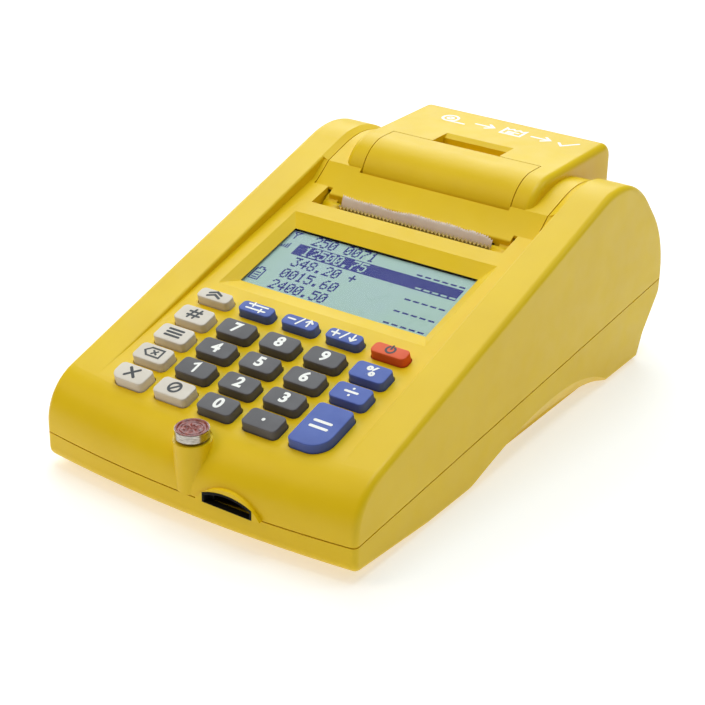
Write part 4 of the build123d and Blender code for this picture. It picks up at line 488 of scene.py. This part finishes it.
# what is printed on each key: a text and its height, or runs of points and their stroke;
# the drawn figure replaces the font's 1
KEY_SIGNS = {
    **{f"key_{digit}": (str(digit), 4.1) for digit in range(10)},
    "key_1": ((((-1.15, 1.05), (0.25, 1.85), (0.25, -2.0)),), 0.82),
    "key_dot": ((((0, -0.05), (0, 0.05)),), 1.1),
    "key_minus": ((((-4.3, 0.1), (-1.9, 0.1)), SLASH, *ARROW_UP), 0.66),
    "key_plus": ((((-4.5, 0), (-1.9, 0)), ((-3.2, -1.3), (-3.2, 1.3)), SLASH, *ARROW_DOWN), 0.66),
    "key_feed": ((((-2.2, 0.2), (0, 1.3), (2.2, 0.2)), ((-2.2, -1.2), (0, -0.1), (2.2, -1.2))), 0.85),
    "key_mode": ((arc(1.4, first=125, last=415), ((0, 0.3), (0, 1.8))), 0.68),
    "key_function": ((((-3.4, 0.95), (3.4, 0.95)), ((-3.4, -0.95), (3.4, -0.95)),
                      ((-1.7, 1.75), (-1.7, 0.15)), ((1.7, -0.15), (1.7, -1.75))), 0.66),
    "key_lookup": ((((-1.5, -1.9), (-0.5, 1.9)), ((0.5, -1.9), (1.5, 1.9)),
                    ((-2.2, 0.8), (2.2, 0.8)), ((-2.2, -0.8), (2.2, -0.8))), 0.78),
    "key_department": (tuple(((-2.6, s), (2.6, s)) for s in (1.4, 0.0, -1.4)), 0.85),
    "key_void": ((((-3.2, 0), (-1.6, 1.7), (3.0, 1.7), (3.0, -1.7), (-1.6, -1.7), (-3.2, 0)),
                  ((-0.3, -0.7), (1.3, 0.7)), ((-0.3, 0.7), (1.3, -0.7))), 0.66),
    "key_quantity": ((((-1.7, -1.7), (1.7, 1.7)), ((-1.7, 1.7), (1.7, -1.7))), 0.95),
    "key_clear": ((arc(1.9), ((-1.3, -1.3), (1.3, 1.3))), 0.82),
    "key_pay": ("%", 3.9),
    "key_subtotal": ((((-2.0, 0), (2.0, 0)), ((0, 1.45), (0, 1.5)), ((0, -1.5), (0, -1.45))), 0.85),
    "key_total": ((((-2.7, 1.2), (2.7, 1.2)), ((-2.7, -1.2), (2.7, -1.2))), 1.0),
}
CENTRED_SIGNS = ("key_dot", "key_total")


def print_text(text, height):
    """A digit or sign as flat triangles, centred on its own box."""
    curve = bpy.data.curves.new("legend_text", "FONT")
    curve.body = text
    curve.size = 1.0
    curve.offset = LEGEND_WEIGHT
    curve.resolution_u = 6
    holder = bpy.data.objects.new("legend_text", curve)
    scene.collection.objects.link(holder)
    bpy.context.view_layer.update()
    mesh = bpy.data.meshes.new_from_object(holder.evaluated_get(bpy.context.evaluated_depsgraph_get()))
    points = np.empty(len(mesh.vertices) * 3)
    mesh.vertices.foreach_get("co", points)
    points = points.reshape(-1, 3)[:, :2]
    faces = [list(p.vertices) for p in mesh.polygons]
    bpy.data.objects.remove(holder)
    bpy.data.curves.remove(curve)
    bpy.data.meshes.remove(mesh)
    middle = (points.min(0) + points.max(0)) / 2
    return at_height((points - middle) * height / CAPITAL, 0.0), faces


def ribbon(line, width):
    """A run of points as a ribbon: each point goes half the width to both sides of its run.

    At a bend the two sides go along the bend's middle, width / 2 / cos(half the bend) out; an open
    run ends in half circles, and one whose last point is its first is joined to itself.
    """
    line = np.array(line, float)
    closed = np.allclose(line[0], line[-1])
    if closed:
        line = line[:-1]
    ahead = np.roll(line, -1, 0) - line
    if not closed:
        ahead[-1] = ahead[-2]
    ahead /= np.linalg.norm(ahead, axis=1)[:, None]
    behind = np.roll(ahead, 1, 0)
    if not closed:
        behind[0] = ahead[0]
    side = np.stack([-ahead[:, 1] - behind[:, 1], ahead[:, 0] + behind[:, 0]], -1)
    side /= np.linalg.norm(side, axis=1)[:, None]
    bend = np.clip(np.abs(side[:, 1] * ahead[:, 0] - side[:, 0] * ahead[:, 1]), SHARPEST, 1)
    out = side * (width / 2 / bend)[:, None]
    count = len(line)
    points = np.concatenate([line - out, line + out])
    step = np.arange(count if closed else count - 1)
    after = (step + 1) % count
    faces = np.stack([step, after, after + count, step + count], -1).tolist()
    if not closed:
        turn = np.linspace(0, math.pi, END_STEPS)[1:-1]
        for end, way, first, last in ((count - 1, 1, count - 1, 2 * count - 1), (0, -1, count, 0)):
            along, left = ahead[end] * way, side[end] * way
            round_end = line[end] + width / 2 * (np.sin(turn)[:, None] * along - np.cos(turn)[:, None] * left)
            faces.append([first, *range(len(points), len(points) + len(turn)), last])
            points = np.concatenate([points, round_end])
    return points, faces


def print_lines(lines, width):
    """Drawn signs: a ribbon for each run, every next one a layer higher so that none share a plane."""
    points, faces = [], []
    for layer, line in enumerate(lines):
        flat, made = ribbon(line, width)
        first = sum(map(len, points))
        faces += [[first + corner for corner in face] for face in made]
        points.append(at_height(flat, LAYER * layer))
    return np.concatenate(points), faces


def make_legend(node):
    """A legend lies just above its key's crowned top, printed in white or in black."""
    x, s = KEY_PLACES[node]
    drawing, size = KEY_SIGNS[node]
    printed = print_text if isinstance(drawing, str) else print_lines
    points, faces = printed(drawing, size)
    lift = 0.0 if node in CENTRED_SIGNS else LEGEND_LIFT
    placed = on_panel(points + (x, s + lift, KEY_HEIGHT + KEY_CROWN + LEGEND_GAP))
    ink = INK_BLACK if SLOT_OF[node] in BLACK_PRINTED else INK_WHITE
    name = node.removeprefix("key_")
    piece("legend_" + name, placed, faces, "button_" + name, SLOT_OF[node], ink, smooth=False)


# the pod's print, how to load paper: a roll, an arrow, a torn ticket, an arrow, a tick
POD_SIGNS = (
    arc(2.3, (-17.5, 0.0)), arc(0.8, (-17.5, 0.0)), ((-17.5, -2.3), (-11.8, -2.3)),
    ((-9.0, 0.0), (-3.2, 0.0)), ((-5.2, 1.7), (-3.2, 0.0), (-5.2, -1.7)),
    ((0.0, 2.2), (0.0, -2.2), (6.2, -2.2), (6.2, 2.2), (5.15, 1.4), (4.1, 2.2), (3.1, 1.4),
     (2.05, 2.2), (1.0, 1.4), (0.0, 2.2)),
    ((1.5, -0.1), (4.7, -0.1)), ((1.5, -1.2), (3.6, -1.2)),
    ((9.0, 0.0), (14.8, 0.0)), ((12.8, 1.7), (14.8, 0.0), (12.8, -1.7)),
    ((17.6, 0.0), (19.2, -1.9), (22.6, 2.2)),
)
POD_SIGNS_STROKE = 0.8
POD_SIGNS_SCALE = (1.2, 1.2, 0.15)
POD_SIGNS_PLACE = (1.0, 77.3, POD_TOP + 0.003)


def make_pod_signs():
    """The pod's signs lie on its top as thin print."""
    points, faces = print_lines(POD_SIGNS, POD_SIGNS_STROKE)
    placed = points * POD_SIGNS_SCALE + POD_SIGNS_PLACE
    piece("pod_signs", placed, faces, "cover", "case_yellow", INK_WHITE, smooth=False)


# ----------------------------------------------------------------------------- screen

LCD_TOP = -3.04                  # the black module's top, below the panel
LCD_SHEET = LCD_TOP + 0.004
LCD_DOTS = LCD_TOP + 0.008
LCD_LIGHT_DOTS = LCD_DOTS + 0.005
SHEET_X = (-35.1, 34.6)
SHEET_S = (34.2, 65.15)

DOT_X = 0.51
DOT_S = 0.665
LIT_DOT = (DOT_X * 1.25, DOT_S * 1.1)
CHARACTER_PITCH = 3.06
FIRST_CHARACTER = -25.3
ROW_CHARACTERS = 19
# each row's base line, the text at its left and the number of dashes at its right
ROWS = (
    (60.45, "250 0071", 6),
    (54.65, "12500.75", 5),
    (48.6, "348.20 +", 5),
    (42.5, "0015.60", 5),
    (36.5, "2400.50", 5),
)
CHOSEN_ROW = 1
# the chosen row's dark bar, in dots from its first character
BAR_X = (-6.3, 113.6)
BAR_S = (-0.9, 7.6)

# each character's seven rows of five dots, from the top down
CHARACTER_DOTS = {
    "0": "01110 10001 10011 10101 11001 10001 01110",
    "1": "00100 01100 00100 00100 00100 00100 01110",
    "2": "01110 10001 00001 00010 00100 01000 11111",
    "3": "11111 00010 00100 00010 00001 10001 01110",
    "4": "00010 00110 01010 10010 11111 00010 00010",
    "5": "11111 10000 11110 00001 00001 10001 01110",
    "6": "00110 01000 10000 11110 10001 10001 01110",
    "7": "11111 00001 00010 00100 01000 01000 01000",
    "8": "01110 10001 10001 01110 10001 10001 01110",
    "9": "01110 10001 10001 01111 00001 00010 01100",
    ".": "00000 00000 00000 00000 00000 01100 01100",
    "+": "00000 00100 00100 11111 00100 00100 00000",
    "_": "00000 00000 00000 00000 00000 00000 01111",
    " ": "00000 00000 00000 00000 00000 00000 00000",
}

# an aerial, four signal steps and a battery at the screen's left
SCREEN_SIGNS = (
    ((-33.8, 64.6), (-32.4, 63.2), (-31.0, 64.6), (-33.8, 64.6)), ((-32.4, 63.2), (-32.4, 61.4)),
    ((-34.0, 56.3), (-34.0, 56.9)), ((-33.2, 56.3), (-33.2, 57.5)),
    ((-32.4, 56.3), (-32.4, 58.1)), ((-31.6, 56.3), (-31.6, 58.7)),
    ((-33.9, 38.4), (-33.9, 43.6), (-33.0, 43.6), (-33.0, 44.5), (-31.6, 44.5), (-31.6, 43.6),
     (-30.7, 43.6), (-30.7, 38.4), (-33.9, 38.4)),
    ((-33.1, 39.3), (-31.5, 39.3)), ((-33.1, 40.5), (-31.5, 40.5)), ((-33.1, 41.7), (-31.5, 41.7)),
)
SCREEN_SIGNS_STROKE = 0.5
SCREEN_SIGNS_SCALE = (1, 1, 0.1)


def rectangle(x, s):
    """The four corners of a rectangle between two x and two s."""
    return np.array([(x[0], s[0]), (x[1], s[0]), (x[1], s[1]), (x[0], s[1])])


def character_dots(text, x, s):
    """Centres of the lit dots of a run of characters, from its lower left corner."""
    cells = np.array([[list(map(int, row)) for row in CHARACTER_DOTS[c].split()] for c in text])
    column, row, dot = np.nonzero(cells)
    across = x + column * CHARACTER_PITCH + (dot + 0.5) * DOT_X
    up = s + (6 - row + 0.5) * DOT_S
    return np.stack([across, up], -1)


def row_dots(line, text, dashes):
    """The corners of a row's lit dots: a rectangle round each centre, four corners after each other."""
    dashes_at = FIRST_CHARACTER + (ROW_CHARACTERS - dashes) * CHARACTER_PITCH
    centres = np.concatenate([character_dots(text, FIRST_CHARACTER, line),
                              character_dots("_" * dashes, dashes_at, line)])
    corners = rectangle((-0.5, 0.5), (-0.5, 0.5)) * LIT_DOT
    return (centres[:, None] + corners).reshape(-1, 2)


def on_screen(name, flat, height, finish):
    """Rectangles of four corners each, as one flat piece at its height below the panel."""
    faces = np.arange(len(flat)).reshape(-1, 4).tolist()
    piece(name, on_panel(at_height(flat, height)), faces, "case", "lcd", finish, smooth=False)


def make_screen():
    """The polariser over the black module, its lit dots, the chosen row light on a dark bar, signs."""
    line = ROWS[CHOSEN_ROW][0]
    bar = rectangle([FIRST_CHARACTER + dots * DOT_X for dots in BAR_X],
                    [line + dots * DOT_S for dots in BAR_S])
    dark =[row_dots(*row) for number, row in enumerate(ROWS) if number != CHOSEN_ROW]
    on_screen("display_polariser", rectangle(SHEET_X, SHEET_S), LCD_SHEET, LCD_MINT)
    on_screen("display_dots", np.concatenate([*dark, bar]), LCD_DOTS, LCD_INK)
    on_screen("display_light_dots", row_dots(*ROWS[CHOSEN_ROW]), LCD_LIGHT_DOTS, LCD_MINT)
    points, faces = print_lines(SCREEN_SIGNS, SCREEN_SIGNS_STROKE)
    placed = on_panel(points * SCREEN_SIGNS_SCALE + (0, 0, LCD_DOTS))
    piece("display_signs", placed, faces, "case", "lcd", LCD_INK, smooth=False)


# ------------------------------------------------------------------------------- seal

SEAL_AT = 4.3                    # the cup's axis, behind the case's front
SEAL_TOP = 30.4                  # the cup's rim
SEAL_LEAN = math.radians(2.5)
WAX_RADIUS = 4.53                # inside the cup
WAX_LIP = 4.88                   # over its rim
WAX_LEVEL = -0.28                # of the stamp's ground, from the rim
WAX_RINGS = 40
WAX_SPOKES = 120
# radius and height of the rings below the relief, from the bottom up
WAX_SKIRT = ((WAX_RADIUS, -2.0), (WAX_RADIUS, 0.012), (WAX_LIP + 0.03, 0.012))


def on_seal(points):
    """Points on the seal's own axis, u across, v to the rear and w up, as case points."""
    u, v, w = np.asarray(points, float).T
    y = FRONT_Y + SEAL_AT + v * math.cos(SEAL_LEAN) - w * math.sin(SEAL_LEAN)
    z = SEAL_TOP + v * math.sin(SEAL_LEAN) + w * math.cos(SEAL_LEAN)
    return np.stack([u, y, z], -1)


def wax_height(radius, angle):
    """The stamp's relief over radius and angle, in millimetres from the cup's rim.

    A step up over the rim, a raised ring, six petals as cos(3 angle) squared that fade from the
    middle to the ring, veins between them, and small ripples.
    """
    step = 0.40 / (1 + np.exp((4.2 - radius) / 0.12))
    ring = 0.20 * np.exp(-((radius - 3.35) / 0.20) ** 2)
    petals = 0.34 * (np.cos(3 * angle) ** 2) * np.exp(-((radius - 1.7) / 0.95) ** 2)
    veins = -0.16 * np.exp(-((np.abs(np.sin(3 * angle)) * radius) / 0.22) ** 2) * (radius < 2.8)
    ripples = 0.05 * np.sin(7 * angle + 2.1 * radius) * np.sin(3.0 * radius + 1.0)
    return WAX_LEVEL + step + ring + petals + veins + ripples


def make_wax():
    """The pressed wax: rings up inside the cup, out over its rim, and in over the relief to the middle."""
    angle = np.linspace(0, 2 * math.pi, WAX_SPOKES, endpoint=False)
    circle = np.stack([np.cos(angle), np.sin(angle)], -1)
    skirt = [at_height(radius * circle, height) for radius, height in WAX_SKIRT]
    radius = np.linspace(0.02, 1.0, WAX_RINGS)[::-1, None] * WAX_LIP
    top = np.stack([radius * np.cos(angle), radius * np.sin(angle), wax_height(radius, angle)], -1)
    wax = swept("stamped_wax", [on_seal(ring) for ring in (*skirt, *top)], "case", "seal_wax")
    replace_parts(wax, "seal_wax")


# ------------------------------------------------------------------------------ paper

PLATEN_Y, PLATEN_Z = FRONT_Y + 122.9, 49.0
PLATEN_WRAP = 5.8                # radius of the paper's bend round the platen
ROLL_Y, ROLL_Z = FRONT_Y + 152.6, 42.5
ROLL_WRAP = 18.8
PAPER_WIDTH = 57.0
PAPER_THICKNESS = 0.12
PAPER_COLUMNS = 481
STRAIGHT_STEPS, BEND_STEPS, RISE_STEPS = 6, 12, 13
TORN_TOP = 56.75
LEAN_FROM = 53.65                # above this height the paper leans back


def torn_edge(x):
    """Height of the torn edge at x: slow waves, a ripple every 0.95 mm and a rip at the right."""
    waves = 0.22 * np.sin(x / 5.1 + 0.6) + 0.16 * np.sin(x / 2.3 + 2.0)
    ripple = 0.75 * (np.abs((x / 0.95) % 1 - 0.5) * 2 - 0.5) * (0.7 + 0.3 * np.sin(x * 1.7))
    rip = -1.2 * np.clip((x - 23.5) / 4.5, 0, 1) ** 2 + 0.45 * np.exp(-((x - 21.0) / 1.6) ** 2)
    return TORN_TOP + waves + ripple + rip


def round_point(y, z, radius, angle):
    """The point or points of a round at an angle: centre + radius * (cos, sin)."""
    return np.stack([y + radius * np.cos(angle), z + radius * np.sin(angle)], -1)


def make_paper():
    """The paper's tail: straight from the roll, round under the platen, up through the slot.

    The path is the tangent of the two rounds, an arc of the platen's round and a rise. Across the
    width the rise is scaled to the torn edge's height, and it leans back by about 1 mm as the
    height above LEAN_FROM to the power of 1.4.
    """
    away_y, away_z = PLATEN_Y - ROLL_Y, PLATEN_Z - ROLL_Z
    reach = math.hypot(away_y, away_z)
    normal = math.atan2(away_z, away_y) + math.acos((ROLL_WRAP - PLATEN_WRAP) / reach)
    leave = round_point(ROLL_Y, ROLL_Z, ROLL_WRAP, normal)
    touch = round_point(PLATEN_Y, PLATEN_Z, PLATEN_WRAP, normal)
    straight = leave + (touch - leave) * np.linspace(0, 1, STRAIGHT_STEPS)[:-1, None]
    bend = round_point(PLATEN_Y, PLATEN_Z, PLATEN_WRAP, np.linspace(normal, math.pi, BEND_STEPS))
    path = np.concatenate([straight, bend])
    across = np.linspace(-PAPER_WIDTH / 2, PAPER_WIDTH / 2, PAPER_COLUMNS)
    lower = np.stack(np.broadcast_arrays(across, path[:, :1], path[:, 1:]), -1)
    height = PLATEN_Z + (torn_edge(across) - PLATEN_Z) * np.linspace(0, 1, RISE_STEPS)[1:, None]
    lean = 1.0 + 0.10 * np.sin(across / 9.0)
    share = np.clip((height - LEAN_FROM) / (TORN_TOP - LEAN_FROM), 0, 1.2)
    back = PLATEN_Y - PLATEN_WRAP + lean * share ** 1.4
    upper = np.stack(np.broadcast_arrays(across, back, height), -1)
    sheet = np.concatenate([lower, upper])
    faces = grid_faces(len(sheet), PAPER_COLUMNS).tolist()
    paper = piece("torn_paper", sheet.reshape(-1, 3), faces, "case", "paper")
    wall = paper.modifiers.new("thickness", "SOLIDIFY")
    wall.thickness = PAPER_THICKNESS * MM
    wall.offset = 0.0
    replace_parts(paper, "paper_tail")


# ----------------------------------------------------------------------- port and slot

PORT_X = 15.6
PORT_HALF_WIDTH = 8.2
PORT_SHOULDER = 2.6              # heights above the parting line
PORT_CROWN = 4.45
ARCH_STEPS = 25
# the gasket's section: inset from the arch, foot above the parting line, depth from the front
GASKET_SECTION = (
    (-0.5, 0.10, -0.58), (-0.5, 0.10, -0.64), (-0.42, 0.12, -0.70), (0.1, 0.22, -0.70),
    (0.30, 0.30, -0.5), (0.30, 0.30, 1.7), (0.08, 0.10, 1.7), (0.08, 0.10, -0.58),
)

# y and z of the upper side of the shelf at each end of the slot
SHELF_LINE = np.array([
    (24.3, 54.35), (23.4, 53.6), (22.4, 52.9), (21.2, 52.6), (19.4, 52.55), (18.9, 52.9),
])
SHELF_THICKNESS = 0.6
SHELF_STATIONS = (28.7, 32.0, 35.4)
# y and z of the slot's end wall, below the case's skin
END_WALL = np.array([(17.6, 49.0), (27.2, 49.0), (27.2, 55.2), (17.6, 53.6)])
END_WALL_STATIONS = (36.02, 36.7)

TEAR_BAR_TEETH = 41
TEAR_BAR_HALF_WIDTH = 28.98
TEAR_BAR_FOOT = 50.0
TEAR_BAR_TOP = 54.8
TOOTH_DEPTH = 0.95
TEAR_BAR_BEVEL = 0.35
TEAR_BAR_Y = (22.32, 22.32, 22.74, 22.88, 22.88)


def arch_ring(inset, low, depth):
    """The port's arch, set in: a circle's arc through both shoulders and the crown, and a flat foot."""
    half, shoulder, crown = PORT_HALF_WIDTH - inset, PORT_SHOULDER - inset, PORT_CROWN - inset
    rise = crown - shoulder
    radius = (half ** 2 + rise ** 2) / (2 * rise)
    reach = math.asin(half / radius)
    angle = np.linspace(reach, -reach, ARCH_STEPS)
    x = np.concatenate([[half], radius * np.sin(angle), [-half]])
    z = np.concatenate([[low], crown - radius * (1 - np.cos(angle)), [low]])
    return np.stack([PORT_X + x, np.full(len(x), FRONT_Y + depth), PARTING + z], -1)


def make_port_gasket():
    """The socket's gasket: the arch carried round a closed section.

    It goes out over the arch's lip, in through the arch, and back along the sleeve's other side.
    """
    rings = [arch_ring(*corner) for corner in GASKET_SECTION]
    count, total = len(rings[0]), len(rings) * len(rings[0])
    faces = (grid_faces(len(rings) + 1, count, closed=True) % total).tolist()
    # the near-black gasket lines the opening, its foot along the sill, as painted shade for the socket's dark
    # inside
    gasket = piece("port_gasket", np.concatenate(rings), faces, "case", "connector_black", GASKET_RUBBER_AND_SHADE,
                   smooth=False)
    outward(gasket)


def at_both_ends(name, profile, stations, body, smooth):
    """A profile of y and z carried along X at each end of the slot, as two closed pieces."""
    for side, word in ((-1, "left"), (1, "right")):
        rings = [at_x(side * x, profile) for x in stations]
        outward(swept(f"{name}_{word}", rings, body, "case_yellow", smooth=smooth))


def make_slot_ends():
    """A curved shelf runs forward from each gear guard, and a wall closes each end of the slot."""
    shelf = np.concatenate([SHELF_LINE, SHELF_LINE[::-1] - (0.0, SHELF_THICKNESS)])
    at_both_ends("slot_shelf", shelf, SHELF_STATIONS, "cover", smooth=True)
    at_both_ends("slot_end", END_WALL, END_WALL_STATIONS, "case", smooth=False)


def make_tear_bar():
    """The tear bar: one section from x to x, whose top goes up and down for a tooth every 1.41 mm.

    The section is a strip standing in the slot, its front face ground back to the tips.
    """
    step = np.arange(2 * TEAR_BAR_TEETH + 1)
    tip = TEAR_BAR_TOP - np.where(step % 2, 0.0, TOOTH_DEPTH)
    foot = np.full(len(step), TEAR_BAR_FOOT)
    rings = np.empty((len(step), len(TEAR_BAR_Y), 3))
    rings[..., 0] = (-TEAR_BAR_HALF_WIDTH + step * TEAR_BAR_HALF_WIDTH / TEAR_BAR_TEETH)[:, None]
    rings[..., 1] = TEAR_BAR_Y
    rings[..., 2] = np.stack([foot, tip - TEAR_BAR_BEVEL, tip, tip, foot], -1)
    bar = swept("toothed_tear_bar", rings, "case", SLOT_OF["tear_bar"], LIGHTENED_TEAR_STEEL, smooth=False)
    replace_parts(outward(bar), "tear_bar")


# ----------------------------------------------------------------------- the register

make_camera()
make_studio()
for node in KEY_PLACES:
    make_key(node)
for node in KEY_SIGNS:
    make_legend(node)
make_screen()
make_wax()
make_paper()
make_port_gasket()
make_slot_ends()
make_tear_bar()
make_pod_signs()
